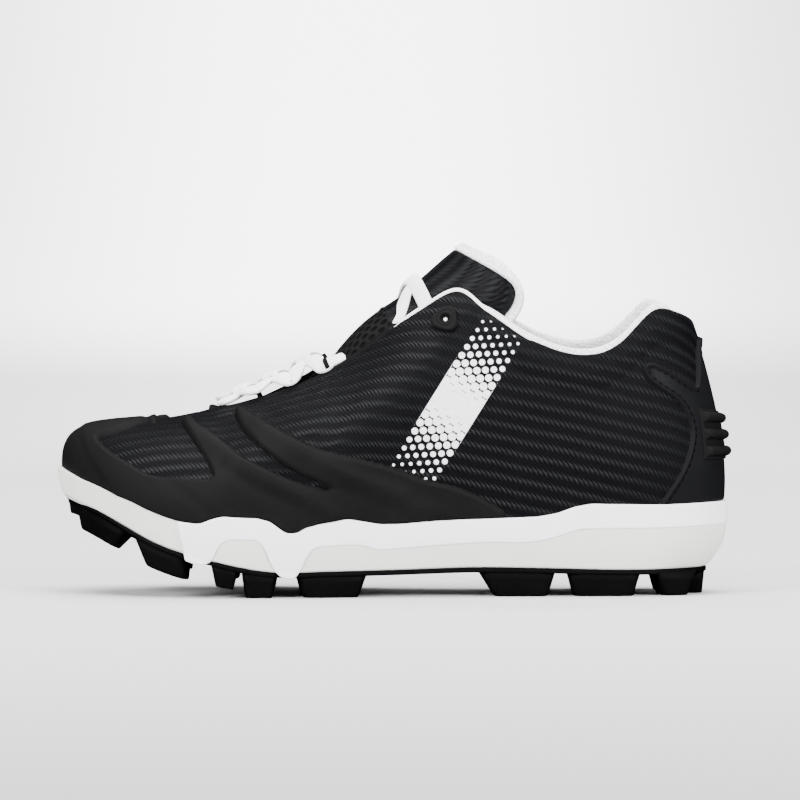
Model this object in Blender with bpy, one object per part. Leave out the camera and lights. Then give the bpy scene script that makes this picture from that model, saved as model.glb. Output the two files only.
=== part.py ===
"""Low-cut moulded baseball cleat for the left foot, built as a maker would put it together.

Frame: metres, +Z up, the ground at z = 0, the toe towards -X, the outer (lateral) side towards -Y.
The origin is under the middle of the shoe. Every table holds shares of the named sizes above it:
u runs along the sole from the back of the heel (0) to the tip of the toe (1), and f runs along the
sole's edge from the middle of the heel (0) to the middle of the toe (1), the same way on both sides.
"""

import math

import bmesh
import bpy
import numpy as np

MM = 0.001

# Driving sizes
LENGTH = 268.4 * MM
BALL_WIDTH = 95.0 * MM
HEEL_HEIGHT = 113.6 * MM
INSTEP_HEIGHT = 121.5 * MM
STUD_HEIGHT = 8.8 * MM
PLATE_THICKNESS = 2.0 * MM
PLATE_INSET = 0.6 * MM
SIDE_HEIGHT = 26.0 * MM
TOE_SPRING = 28.2 * MM
HEEL_UNDERCUT = 8.0 * MM
SIDE_UNDERCUT = 2.5 * MM
RIM_THICKNESS = 2.0 * MM
RIM_STEP = 0.7 * MM
UPPER_WALL = 1.8 * MM
COLLAR_PADDING = 3.4 * MM
COLLAR_ROLL = 2.4 * MM
THROAT_ROLL = 0.4 * MM
MEDIAL_RISE = 2.0 * MM
GUARD_THICKNESS = 1.0 * MM
COUNTER_THICKNESS = 0.8 * MM
BUMPER_BASE = 0.7 * MM
BUMPER_RIB = 1.9 * MM
INSOLE_THICKNESS = 4.0 * MM
TONGUE_THICKNESS = 3.6 * MM
TONGUE_PADDING = 2.6 * MM
INSOLE_CLEARANCE = 1.0 * MM
LACE_WIDTH = 5.0 * MM
LACE_THICKNESS = 1.5 * MM
LACE_CLEARANCE = 0.5 * MM
LOOP_THICKNESS = 0.7 * MM
LOOP_ROOM = 2.2 * MM
LOOP_WIDTH = 4.0 * MM
EYELET_RADIUS = 5.2 * MM
EYELET_HOLE = 1.9 * MM
EYELET_THICKNESS = 1.3 * MM
STUD_WIDTH = 14.0 * MM
STUD_DRAFT = 1.2 * MM
CLAW_REACH = 4.5 * MM
FRAME_SLANT = 2.6 * MM
BAND_OVER = 3.0 * MM
DRILL_REACH = 8.0 * MM
CREST_SHIFT = 3.0 * MM
GAP = 0.3 * MM

# Where the sole lies along X: the heel bumper's last rib stands a little behind the sole
HEEL_X = LENGTH / 2 - 0.8 * MM
BASE_Z = STUD_HEIGHT + PLATE_THICKNESS
FEATHER_INSET = RIM_THICKNESS + GAP
STATIONS = 28
STATION_CROWDING = 0.35

# The sole's outline from above: u, share of the ball width (lateral side negative)
LATERAL_EDGE = [
    (0.012, -0.130), (0.045, -0.250), (0.100, -0.325), (0.180, -0.362), (0.280, -0.372),
    (0.380, -0.385), (0.480, -0.415), (0.580, -0.462), (0.680, -0.497), (0.760, -0.504),
    (0.830, -0.470), (0.895, -0.390), (0.945, -0.270), (0.980, -0.125),
]
MEDIAL_EDGE = [
    (0.012, 0.130), (0.045, 0.250), (0.100, 0.325), (0.180, 0.345), (0.300, 0.315),
    (0.400, 0.300), (0.480, 0.325), (0.580, 0.396), (0.670, 0.468), (0.750, 0.496),
    (0.830, 0.484), (0.900, 0.425), (0.950, 0.345), (0.985, 0.220),
]
TOE_TIP = (1.0, 0.055)

# The midsole's underside: u, share of the toe spring above the level of the heel
SPRING = [
    (0.0, 0.0), (0.17, -0.01), (0.276, 0.014), (0.374, 0.028), (0.49, 0.0), (0.60, -0.02),
    (0.672, -0.025), (0.764, 0.131), (0.803, 0.223), (0.858, 0.404), (0.898, 0.596),
    (0.9475, 0.83), (0.99, 0.972), (1.0, 1.0),
]
# The footbed: u, share of the side height above the underside
FOOTBED = [(0.0, 0.48), (0.30, 0.45), (0.50, 0.40), (0.65, 0.33), (0.80, 0.26), (0.90, 0.21), (1.0, 0.20)]
# The top edge of the side wall, with its waves: u, share of the side height above the underside
TOP_EDGE = [
    (-0.10, 1.008), (0.0, 1.008), (0.099, 0.99), (0.158, 1.0), (0.208, 1.0), (0.232, 0.95),
    (0.259, 0.842), (0.287, 0.785), (0.322, 0.762), (0.373, 0.738), (0.431, 0.73), (0.49, 0.70),
    (0.518, 0.704), (0.545, 0.758), (0.565, 0.796), (0.604, 0.731), (0.627, 0.677), (0.640, 0.602),
    (0.655, 0.604), (0.666, 0.677), (0.678, 0.765), (0.698, 0.796), (0.721, 0.76), (0.748, 0.72),
    (0.764, 0.642), (0.782, 0.527), (0.811, 0.48), (0.83, 0.477), (0.877, 0.477), (0.918, 0.42),
    (0.961, 0.396), (1.0, 0.446), (1.10, 0.446),
]
# The top of the foam's own wall, behind the side frame: u, share of the side height
FOAM_EDGE = [(-0.10, 0.85), (0.20, 0.80), (0.28, 0.60), (0.45, 0.50), (1.10, 0.50)]
# The lower edge of the side frame, with its two claws: u, share of the side height
PARTING = [
    (0.803, -0.10), (0.785, -0.11), (0.769, -0.04), (0.764, 0.02), (0.754, 0.265), (0.738, 0.396),
    (0.698, 0.458), (0.688, 0.388), (0.674, 0.05), (0.664, -0.05), (0.658, -0.09), (0.643, -0.09),
    (0.635, -0.01), (0.624, 0.27), (0.614, 0.373), (0.565, 0.40), (0.549, 0.396), (0.518, 0.308),
    (0.49, 0.323), (0.45, 0.342), (0.373, 0.377), (0.313, 0.38), (0.283, 0.408), (0.256, 0.496),
    (0.225, 0.608), (0.178, 0.627), (0.099, 0.635), (0.03, 0.65), (-0.10, 0.65),
]
FRAME_FRONT = 0.803

# The upper's sections. f: place on the sole's edge. x, y, z: the opening's edge there, as shares of
# the length (from the heel), half the ball width and the heel or instep height. rise and lean set
# how the section leaves the sole, shoulder and roof how it reaches the opening (shares of the
# instep height, and degrees).
COLUMNS = ("f", "x", "y", "z_heel", "z_instep", "rise", "lean", "shoulder", "roof")
SECTIONS = [
    (0.000, 0.052, 0.00, 0.953, 0.0, 0.20, 6, 0.17, 79),
    (0.070, 0.069, 0.24, 0.976, 0.0, 0.20, 7, 0.17, 79),
    (0.140, 0.115, 0.43, 0.990, 0.0, 0.21, 10, 0.18, 78),
    (0.200, 0.166, 0.555, 0.876, 0.0, 0.20, 10, 0.17, 80),
    (0.280, 0.221, 0.64, 0.836, 0.0, 0.17, 9, 0.16, 80),
    (0.365, 0.292, 0.635, 0.0, 0.826, 0.19, 8, 0.19, 76),
    (0.450, 0.362, 0.565, 0.0, 0.928, 0.22, 7, 0.25, 66),
    (0.505, 0.410, 0.505, 0.0, 0.992, 0.22, 7, 0.29, 58),
    (0.545, 0.462, 0.465, 0.0, 0.929, 0.21, 8, 0.28, 50),
    (0.620, 0.560, 0.385, 0.0, 0.772, 0.19, 10, 0.24, 38),
    (0.685, 0.636, 0.315, 0.0, 0.686, 0.175, 11, 0.21, 30),
    (0.745, 0.696, 0.250, 0.0, 0.641, 0.17, 11, 0.20, 25),
    (0.800, 0.736, 0.195, 0.0, 0.617, 0.17, 10, 0.22, 20),
    (0.880, 0.759, 0.115, 0.0, 0.611, 0.185, 7, 0.27, 18),
    (1.000, 0.765, 0.00, 0.0, 0.612, 0.212, 4, 0.33, 17),
]

# The tongue's rows from the vamp to the top: x, z of its middle, half width, and how far its edge
# lies behind and below the middle, as shares of length, instep height, ball width, length, instep
TONGUE = [
    (0.805, 0.545, 0.130, 0.002, 0.035),
    (0.755, 0.597, 0.170, 0.006, 0.060),
    (0.708, 0.635, 0.215, 0.012, 0.100),
    (0.650, 0.696, 0.245, 0.020, 0.132),
    (0.590, 0.777, 0.262, 0.030, 0.170),
    (0.530, 0.888, 0.275, 0.046, 0.202),
    (0.470, 1.006, 0.262, 0.078, 0.205),
    (0.430, 1.082, 0.252, 0.106, 0.190),
    (0.408, 1.126, 0.250, 0.100, 0.130),
    (0.400, 1.146, 0.200, 0.066, 0.062),
]
TONGUE_BEND = math.radians(72)

# The edge studs, each made on the lateral and the medial side: u where it starts and ends at the
# plate, the same at its foot, its width as a share of the stud width, and its drop: 0 for a foot on
# the ground, else how far the foot hangs below the plate as a share of the stud height
STUDS = [
    (0.037, 0.107, 0.052, 0.094, 1.0, 0.0),
    (0.131, 0.244, 0.142, 0.234, 1.0, 0.0),
    (0.260, 0.373, 0.271, 0.350, 1.0, 0.0),
    (0.533, 0.637, 0.546, 0.628, 1.0, 0.0),
    (0.668, 0.720, 0.674, 0.714, 1.0, 0.0),
    (0.724, 0.768, 0.733, 0.761, 1.0, 0.85),
    (0.806, 0.890, 0.810, 0.872, 1.0, 0.92),
    (0.903, 0.988, 0.926, 0.982, 0.6, 0.92),
]

# The studs inside the plate: u and y (share of the ball width) of the middle, length and width as
# shares of the stud width, and the drop as above
INNER_STUDS = [
    (0.052, 0.00, 0.64, 1.20, 0.0), (0.590, -0.01, 1.07, 0.93, 0.0),
    (0.700, 0.00, 1.07, 1.07, 0.0), (0.974, 0.07, 0.44, 0.80, 0.45),
]

# Overlay outlines seen from the side: u, share of the instep height (guard) or heel height (counter)
GUARD_WINDOWS = [
    (0.858, 0.75), (0.850, 0.578), (0.868, 0.566), (0.892, 0.545), (0.912, 0.528), (0.930, 0.517),
    (0.936, 0.508), (0.928, 0.489), (0.912, 0.462), (0.882, 0.426), (0.858, 0.397), (0.832, 0.388),
    (0.800, 0.384), (0.772, 0.382), (0.762, 0.388), (0.763, 0.415), (0.775, 0.458), (0.790, 0.502),
    (0.803, 0.538), (0.810, 0.560), (0.808, 0.572), (0.796, 0.568), (0.786, 0.548), (0.762, 0.520),
    (0.738, 0.485), (0.718, 0.452), (0.695, 0.427), (0.660, 0.392), (0.628, 0.367), (0.604, 0.350),
    (0.592, 0.347), (0.594, 0.361), (0.620, 0.388), (0.648, 0.418), (0.678, 0.462), (0.706, 0.513),
    (0.722, 0.549), (0.730, 0.580), (0.731, 0.596), (0.724, 0.601), (0.710, 0.590), (0.678, 0.551),
    (0.648, 0.517), (0.612, 0.482), (0.578, 0.460), (0.522, 0.434), (0.486, 0.408), (0.447, 0.376),
    (0.408, 0.356), (0.370, 0.320), (0.338, 0.277), (0.310, 0.238), (0.060, 0.20), (0.060, 1.30),
    (0.858, 1.30),
]
# On the medial side the fingers lie further towards the toe
FINGER_SHIFT = 0.045
FINGER_SHIFT_FRONT = 0.94
COUNTER = [
    (0.108, 0.20), (0.108, 0.312), (0.098, 0.352), (0.078, 0.424), (0.066, 0.492), (0.061, 0.560),
    (0.066, 0.618), (0.080, 0.674), (0.104, 0.714), (0.122, 0.746), (0.131, 0.782), (0.129, 0.803),
    (0.118, 0.810), (0.098, 0.790), (0.072, 0.752), (0.055, 0.726), (0.0515, 0.740), (0.050, 0.800),
    (0.050, 0.860), (0.048, 0.896), (0.036, 0.908), (-0.05, 0.905), (-0.05, 0.20),
]

# Where the laces turn: at the front bar and then at the webbing loops. Then where the top crossing
# leaves the throat's edges.
LACE_ROWS = (0.742, 0.698, 0.648, 0.598)
TOP_ROWS = (0.508, 0.438)
EYELET_PLACE = (0.515, 0.885)


def rows_of(table):
    """The table's columns as arrays."""
    return np.array(table, float).T


def reflected(knots, values, odd):
    """Knots and values carried past both ends, so that a curve crosses the middle smoothly."""
    sign = -1.0 if odd else 1.0
    before = knots[0] - (knots[1:3] - knots[0])[::-1]
    after = knots[-1] + (knots[-1] - knots[-3:-1])[::-1]
    more = np.concatenate([sign * values[1:3][::-1], values, sign * values[-3:-1][::-1]])
    return np.concatenate([before, knots, after]), more


def smooth(at, knots, values, odd=False):
    """A Catmull-Rom curve through the values, at the places asked for."""
    at = np.asarray(at, float)
    k, v = reflected(np.asarray(knots, float), np.asarray(values, float), odd)
    slope = np.gradient(v, k)
    i = np.clip(np.searchsorted(k, at, side="right") - 1, 0, len(k) - 2)
    step = k[i + 1] - k[i]
    t = (at - k[i]) / step
    return (
        (2 * t**3 - 3 * t**2 + 1) * v[i]
        + (t**3 - 2 * t**2 + t) * step * slope[i]
        + (3 * t**2 - 2 * t**3) * v[i + 1]
        + (t**3 - t**2) * step * slope[i + 1]
    )


def table_at(table, u):
    """A table of (u, share) read in straight lines between its rows."""
    knots, values = rows_of(sorted(table))
    return np.interp(u, knots, values)


def closed_curve(points, per_span=24):
    """A Catmull-Rom curve through a closed list of points, as many points in a row."""
    p = np.asarray(points, float)
    t = np.linspace(0, 1, per_span, endpoint=False)[:, None]
    spans = []
    for i in range(len(p)):
        a, b, c, d = p[i - 1], p[i], p[(i + 1) % len(p)], p[(i + 2) % len(p)]
        spans.append(
            0.5 * (2 * b + (c - a) * t + (2 * a - 5 * b + 4 * c - d) * t**2 + (3 * b - a - 3 * c + d) * t**3)
        )
    return np.concatenate(spans)


def make_edge():
    """The sole's edge from above as dense arrays: p (0 to 2 around the loop), points and normals."""
    loop = [(0.0, 0.0), *LATERAL_EDGE, TOE_TIP, *reversed(MEDIAL_EDGE)]
    shares = closed_curve(loop)
    points = np.stack([HEEL_X - shares[:, 0] * LENGTH, shares[:, 1] * BALL_WIDTH], axis=1)
    points = np.vstack([points, points[:1]])
    toe = int(np.argmin(points[:, 0]))
    along = np.concatenate([[0], np.cumsum(np.linalg.norm(np.diff(points, axis=0), axis=1))])
    p = np.where(
        along <= along[toe],
        along / along[toe],
        1 + (along - along[toe]) / (along[-1] - along[toe]),
    )
    tangent = np.gradient(points, along, axis=0)
    tangent[0] = tangent[-1] = tangent[0] + tangent[-1]
    tangent /= np.linalg.norm(tangent, axis=1)[:, None]
    return p, points, np.stack([-tangent[:, 1], tangent[:, 0]], axis=1)


EDGE_P, EDGE_POINTS, EDGE_NORMALS = make_edge()


def loop_value(p, values):
    p = np.mod(p, 2.0)
    return np.stack([np.interp(p, EDGE_P, values[:, i]) for i in range(values.shape[1])], axis=-1)


def edge_normal(p):
    n = loop_value(p, EDGE_NORMALS)
    return n / np.linalg.norm(n, axis=-1, keepdims=True)


def edge_point(p, inset=0.0):
    """A point on the sole's edge from above, moved in from it."""
    inset = np.asarray(inset, float)[..., None]
    return loop_value(p, EDGE_POINTS) - edge_normal(p) * inset


def u_of(xy):
    return (HEEL_X - xy[..., 0]) / LENGTH


def edge_u(p):
    return u_of(loop_value(p, EDGE_POINTS))


def place_of(u, side):
    """The place p on the loop at the share u of the length, on the lateral (-1) or medial (1) side."""
    toe = int(np.argmin(np.abs(EDGE_P - 1)))
    us = (HEEL_X - EDGE_POINTS[:, 0]) / LENGTH
    if side < 0:
        return np.interp(u, us[: toe + 1], EDGE_P[: toe + 1])
    return np.interp(u, us[toe:][::-1], EDGE_P[toe:][::-1])


def under_z(u):
    """The midsole's underside."""
    return BASE_Z + TOE_SPRING * smooth(np.clip(u, 0, 1), *rows_of(SPRING))


def footbed_z(u):
    return under_z(u) + SIDE_HEIGHT * table_at(FOOTBED, u)


def top_z(u):
    """The top edge of the side wall."""
    return under_z(u) + SIDE_HEIGHT * table_at(TOP_EDGE, u)


def foam_top_z(u):
    """The top of the foam's wall: under the side frame's top edge, and the top edge itself at the toe."""
    return under_z(u) + SIDE_HEIGHT * np.minimum(table_at(TOP_EDGE, u), table_at(FOAM_EDGE, u))


def undercut(p):
    """How far the sole's wall comes in at its foot: most at the back of the heel."""
    heel = np.clip(1 - edge_u(p) / 0.16, 0, 1)
    return SIDE_UNDERCUT + (HEEL_UNDERCUT - SIDE_UNDERCUT) * heel**1.5


def wall_inset(p, z):
    """The sole's side profile: the inset at height z, nothing above two thirds of the wall."""
    u = edge_u(p)
    share = (z - under_z(u)) / (SIDE_HEIGHT * 0.62)
    return undercut(p) * np.clip(1 - share, 0, 1.3) ** 2


def section_columns(f):
    """Every column of the section table at f."""
    table = dict(zip(COLUMNS, rows_of(SECTIONS)))
    height = table["z_heel"] * HEEL_HEIGHT + table["z_instep"] * INSTEP_HEIGHT
    found = {name: smooth(f, table["f"], table[name], odd=name == "y") for name in COLUMNS[1:]}
    found["z"] = smooth(f, table["f"], height)
    return found


def upper_surface(p, t):
    """The upper's outer surface. t runs from the feather edge (-1) up the cupped wall to the sole's
    top edge (0), and on over the foot to the opening (1)."""
    p, t = np.broadcast_arrays(np.mod(np.asarray(p, float), 2.0), np.asarray(t, float))
    f = np.where(p <= 1, p, 2 - p)
    side = np.where(p <= 1, -1.0, 1.0)
    c = section_columns(f)
    n = edge_normal(p)
    out = np.stack([n[..., 0], n[..., 1], np.zeros_like(f)], axis=-1)
    up = np.array([0.0, 0.0, 1.0])
    foot = edge_point(p, np.full(f.shape, FEATHER_INSET))
    u = u_of(foot)
    start = np.concatenate([foot, top_z(u)[..., None]], axis=-1)
    bottom = np.concatenate([foot, (footbed_z(u) + GAP)[..., None]], axis=-1)
    rise = MEDIAL_RISE * np.clip(side, 0, 1) * np.clip(np.sin(math.pi * np.clip(f / 0.55, 0, 1)), 0, 1)
    end = np.stack([HEEL_X - c["x"] * LENGTH, side * c["y"] * BALL_WIDTH / 2, c["z"] + rise], axis=-1)
    lean, roof = np.radians(c["lean"])[..., None], np.radians(c["roof"])[..., None]
    one = start + (c["rise"] * INSTEP_HEIGHT)[..., None] * (out * np.sin(lean) + up * np.cos(lean))
    two = end + (c["shoulder"] * INSTEP_HEIGHT)[..., None] * (out * np.cos(roof) - up * np.sin(roof))
    s = np.clip(t, 0, 1)[..., None]
    over = (1 - s) ** 3 * start + 3 * (1 - s) ** 2 * s * one + 3 * (1 - s) * s**2 * two + s**3 * end
    cup = start + np.clip(-t, 0, 1)[..., None] * (bottom - start)
    return np.where((t < 0)[..., None], cup, over)


def upper_normal(p, t):
    """The outward normal of the upper's surface."""
    step = 0.004
    p, t = np.broadcast_arrays(np.asarray(p, float), np.asarray(t, float))
    high = np.where(t < 0, 0.0, 1.0)
    low = np.where(t < 0, -1.0, 0.0)
    across = upper_surface(p + step, t) - upper_surface(p - step, t)
    along = upper_surface(p, np.minimum(t + step, high)) - upper_surface(p, np.maximum(t - step, low))
    n = np.cross(along, across)
    return n / np.linalg.norm(n, axis=-1, keepdims=True)


def off_upper(p, t, distance):
    """A point at a distance outside the upper's outer surface."""
    distance = np.asarray(distance, float)
    return upper_surface(p, t) + upper_normal(p, t) * distance[..., None]


def upper_wall(p, t):
    """The upper's thickness, with the collar's padding towards its edge."""
    f = np.where(np.mod(p, 2.0) <= 1, np.mod(p, 2.0), 2 - np.mod(p, 2.0))
    round_collar = np.clip((0.44 - f) / 0.10, 0, 1)
    near_edge = np.clip((t - 0.45) / 0.45, 0, 1)
    soft = near_edge * near_edge * (3 - 2 * near_edge)
    return UPPER_WALL + COLLAR_PADDING * round_collar * soft


def material(name, colour, roughness, metallic=0.0):
    made = bpy.data.materials.new(name)
    made.use_nodes = True
    shader = made.node_tree.nodes["Principled BSDF"]
    shader.inputs["Base Color"].default_value = (*colour, 1.0)
    shader.inputs["Roughness"].default_value = roughness
    shader.inputs["Metallic"].default_value = metallic
    return made


def add_mesh(name, points, faces, finish, collection):
    """A mesh object from points and faces, its faces turned outwards."""
    mesh = bpy.data.meshes.new(name)
    mesh.from_pydata([tuple(map(float, p)) for p in points], [], [tuple(map(int, f)) for f in faces])
    shape = bmesh.new()
    shape.from_mesh(mesh)
    bmesh.ops.remove_doubles(shape, verts=shape.verts, dist=0.00001)
    bmesh.ops.recalc_face_normals(shape, faces=shape.faces)
    if shape.calc_volume(signed=True) < 0:
        bmesh.ops.reverse_faces(shape, faces=shape.faces)
    shape.to_mesh(mesh)
    shape.free()
    mesh.update()
    if finish is not None:
        mesh.materials.append(finish)
    made = bpy.data.objects.new(name, mesh)
    collection.objects.link(made)
    return made


def add_cutter(name, points, faces):
    made = add_mesh(name, points, faces, None, bpy.data.collections["cutters"])
    made.hide_render = True
    made.display_type = "WIRE"
    return made


def combine(target, tool, operation):
    """A Boolean with a cutter, and a weld that closes the slivers that it leaves."""
    modifier = target.modifiers.new(tool.name, "BOOLEAN")
    modifier.operation = operation
    modifier.object = tool
    modifier.solver = "EXACT"
    weld = target.modifiers.new(f"{tool.name}_weld", "WELD")
    weld.merge_threshold = 0.00002


def grid_faces(rows, columns, closed_rows=False, closed_columns=False, start=0):
    """Triangles over a grid of points stored row by row, all split the same way, so that a layer's
    facets lie parallel to those of the layer under it."""
    r = np.arange(rows if closed_rows else rows - 1)[:, None]
    c = np.arange(columns if closed_columns else columns - 1)[None, :]
    r, c = np.broadcast_arrays(r, c)
    r2, c2 = (r + 1) % rows, (c + 1) % columns
    a, b, c, d = r * columns + c, r * columns + c2, r2 * columns + c2, r2 * columns + c
    faces = np.concatenate([np.stack([a, b, c], axis=-1), np.stack([a, c, d], axis=-1)])
    return (faces.reshape(-1, 3) + start).tolist()


def ring_body(rings):
    """A closed body from rings that go round it and back to the first, like a tyre's."""
    points = np.concatenate(rings)
    return points, grid_faces(len(rings), len(rings[0]), closed_rows=True, closed_columns=True)


def patch_body(outer, inner):
    """A closed body between two grids of points with the same rows and columns."""
    rows, columns = outer.shape[:2]
    points = np.concatenate([outer.reshape(-1, 3), inner.reshape(-1, 3)])
    faces = grid_faces(rows, columns) + grid_faces(rows, columns, start=rows * columns)
    border = (
        [(0, c) for c in range(columns)]
        + [(r, columns - 1) for r in range(1, rows)]
        + [(rows - 1, c) for c in range(columns - 2, -1, -1)]
        + [(r, 0) for r in range(rows - 2, 0, -1)]
    )
    index = [r * columns + c for r, c in border]
    for a, b in zip(index, index[1:] + index[:1]):
        faces.append([a, b, b + rows * columns, a + rows * columns])
    return points, faces


def prism(outline, low, high):
    """An outline in the XZ plane carried along Y from low to high."""
    outline = np.asarray(outline, float)
    n = len(outline)
    points = [(x, low, z) for x, z in outline] + [(x, high, z) for x, z in outline]
    faces = [list(range(n)), list(range(2 * n - 1, n - 1, -1))]
    faces += [[i, (i + 1) % n, (i + 1) % n + n, i + n] for i in range(n)]
    return points, faces


def side_outline(table, height, u_shift=0.0):
    """A table of (u, share of a height) as X and Z."""
    return [(HEEL_X - (u + u_shift) * LENGTH, share * height) for u, share in table]


CAP_SHARES = (0.33, 0.67)


def sole_stack(rings, lower_cap, upper_cap):
    """A body from stacked rings round the sole, closed below and above by rows across it.

    The caps give z from the share u of a point.
    """
    count = len(rings[0])
    half = count // 2
    points = list(np.concatenate(rings))
    faces = grid_faces(len(rings), count, closed_columns=True)
    for ring_index, cap in ((0, lower_cap), (len(rings) - 1, upper_cap)):
        ring = rings[ring_index]
        first = ring_index * count
        rows = []
        for i in range(half + 1):
            a, b = first + i, first + (count - i) % count
            if a == b:
                rows.append([a])
                continue
            row = [a]
            for share in CAP_SHARES:
                x, y, _ = ring[i] + (ring[(count - i) % count] - ring[i]) * share
                points.append(np.array([x, y, float(cap((HEEL_X - x) / LENGTH))]))
                row.append(len(points) - 1)
            rows.append(row + [b])
        for one, two in zip(rows, rows[1:]):
            if len(one) == 1:
                faces += [[one[0], x, y] for x, y in zip(two, two[1:])]
            elif len(two) == 1:
                faces += [[two[0], x, y] for x, y in zip(one, one[1:])]
            else:
                faces += [[one[j], one[j + 1], two[j + 1], two[j]] for j in range(len(one) - 1)]
    return points, faces


def stations(first=0, last=2 * STATIONS - 1):
    """Places round the sole's edge, closer together at the heel and the toe, where it turns."""
    even = np.arange(first, last + 1) / STATIONS
    return even - STATION_CROWDING * np.sin(2 * math.pi * even) / (2 * math.pi)


def sole_ring(p, inset, height):
    """A ring round the sole. height gives z from the share u of each point of the ring."""
    xy = edge_point(p, inset)
    return np.concatenate([xy, height(u_of(xy))[:, None]], axis=1)


def make_midsole(finish, parts):
    """The foam midsole: a cup whose wall stands round the toe and under the side frame."""
    p = stations()
    u = edge_u(p)
    back = RIM_STEP * np.clip((1 - u) / 0.12, 0, 1)

    def wall(share):
        z = under_z(u) + SIDE_HEIGHT * share
        return sole_ring(p, wall_inset(p, z) + back, lambda at: under_z(at) + SIDE_HEIGHT * share)

    rings = [wall(share) for share in (0.0, 0.13, 0.28)]
    rings.append(sole_ring(p, back, foam_top_z))
    rings.append(sole_ring(p, RIM_THICKNESS, foam_top_z))
    rings.append(sole_ring(p, RIM_THICKNESS, footbed_z))
    made = add_mesh("midsole", *sole_stack(rings, under_z, footbed_z), finish, parts)
    combine(made, side_frame_cutter(), "DIFFERENCE")
    return made


def frame_outline(grow):
    """The side frame seen from the side: the wavy top edge, the front end and the clawed lower edge."""
    top = [(u, s) for u, s in sorted(TOP_EDGE) if u < FRAME_FRONT]
    upper = [(u, top_z(u) + grow) for u, _ in top]
    front = FRAME_FRONT + (FRAME_SLANT + grow) / LENGTH
    upper.append((front, float(top_z(front)) + grow))
    lower = []
    for i, (u, share) in enumerate(PARTING):
        after = PARTING[min(i + 1, len(PARTING) - 1)]
        before = PARTING[max(i - 1, 0)]
        run, climb = (before[0] - after[0]) * LENGTH, (after[1] - before[1]) * SIDE_HEIGHT
        size = math.hypot(run, climb)
        shift = grow * climb / size
        z = under_z(u) + SIDE_HEIGHT * share - grow * run / size
        lower.append((u + (grow if i == 0 else -shift) / LENGTH, float(z)))
    return [(HEEL_X - u * LENGTH, float(z)) for u, z in upper + lower]


def frame_band(outer_inset, inner_inset, over):
    """A band round the whole sole that the side frame is cut from."""
    p = stations()
    u = edge_u(p)
    low, top = under_z(u), top_z(u)
    heights = [low - CLAW_REACH, low, low + SIDE_HEIGHT * 0.12, low + SIDE_HEIGHT * 0.24]
    heights.append(low + SIDE_HEIGHT * 0.62)
    heights.append(np.maximum(top, heights[-1] + MM) + over)
    outer, inner = [], []
    for index, z in enumerate(heights):
        slant = wall_inset(p, np.maximum(z, low))
        outer.append(band_ring(p, slant + outer_inset, z))
        inner.append(band_ring(p, (slant if index < 3 else 0.0) + inner_inset, z))
    return ring_body(outer + inner[::-1])


def band_ring(p, inset, z):
    return np.concatenate([edge_point(p, np.broadcast_to(inset, p.shape)), z[:, None]], axis=1)


def make_side_frame(finish, parts):
    """The white frame round the heel and sides, proud of the midsole, its claws down to the plate."""
    made = add_mesh("side_frame", *frame_band(0.0, RIM_THICKNESS, BAND_OVER), finish, parts)
    outline = frame_outline(0.0)
    combine(made, add_cutter("frame_shape", *prism(outline, -BALL_WIDTH, BALL_WIDTH)), "INTERSECT")
    return made


def side_frame_cutter():
    """The side frame's own shape with the gap all round, to cut its neighbours."""
    found = bpy.data.objects.get("frame_room")
    if found:
        return found
    made = add_cutter("frame_room", *frame_band(-BAND_OVER, RIM_THICKNESS + GAP, 2 * BAND_OVER))
    shape = add_cutter("frame_room_shape", *prism(frame_outline(GAP), -BALL_WIDTH, BALL_WIDTH))
    combine(made, shape, "INTERSECT")
    return made


def stud_body(start, end, foot_start, foot_end, width, side, drop):
    """A tapered stud under one edge of the plate, its corners cut."""
    rings = []
    reach = PLATE_INSET + STUD_WIDTH * width
    corner = 0.18 * STUD_WIDTH * width
    for a, b, outer, inner, foot in (
        (start, end, PLATE_INSET, reach, False),
        (foot_start, foot_end, PLATE_INSET + STUD_DRAFT, reach - 1.6 * STUD_DRAFT, True),
    ):
        cut = 0.18 * (b - a)
        along = (a, a + cut, (a + b) / 2, b - cut, b)
        insets = (corner, 0.0, 0.0, 0.0, corner)
        rim = [(u, outer + d) for u, d in zip(along, insets)]
        rim += [(u, inner - d) for u, d in zip(along[::-1], insets)]
        ring = []
        for u, d in rim:
            x, y = edge_point(np.array(place_of(u, side)), SIDE_UNDERCUT + GAP + d)
            ring.append((x, y, stud_z((HEEL_X - x) / LENGTH, foot, drop)))
        rings.append(ring)
    count = len(rings[0])
    strips = [[j, j + 1, count - 2 - j, count - 1 - j] for j in range(count // 2 - 1)]
    faces = strips + [[i + count for i in face] for face in strips]
    faces += grid_faces(2, count, closed_columns=True)
    return rings[0] + rings[1], faces


def stud_z(u, foot, drop):
    """The height of a stud's root, inside the plate, or of its foot: on the ground where drop is 0."""
    if not foot:
        return float(under_z(u)) - 0.6 * PLATE_THICKNESS
    return float(under_z(u)) - PLATE_THICKNESS - drop * STUD_HEIGHT if drop else 0.0


def centre_stud(u, y, length, width, drop):
    """A tapered eight-sided stud inside the plate."""
    points = []
    for scale, foot in ((1.0, False), (0.8, True)):
        for k in range(8):
            angle = math.radians(22.5 + 45 * k)
            x = HEEL_X - u * LENGTH + scale * length / 2 * math.cos(angle)
            z = stud_z((HEEL_X - x) / LENGTH, foot, drop)
            points.append((x, y + scale * width / 2 * math.sin(angle), z))
    faces = [list(range(8)), list(range(15, 7, -1))] + grid_faces(2, 8, closed_columns=True)
    return points, faces


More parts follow.
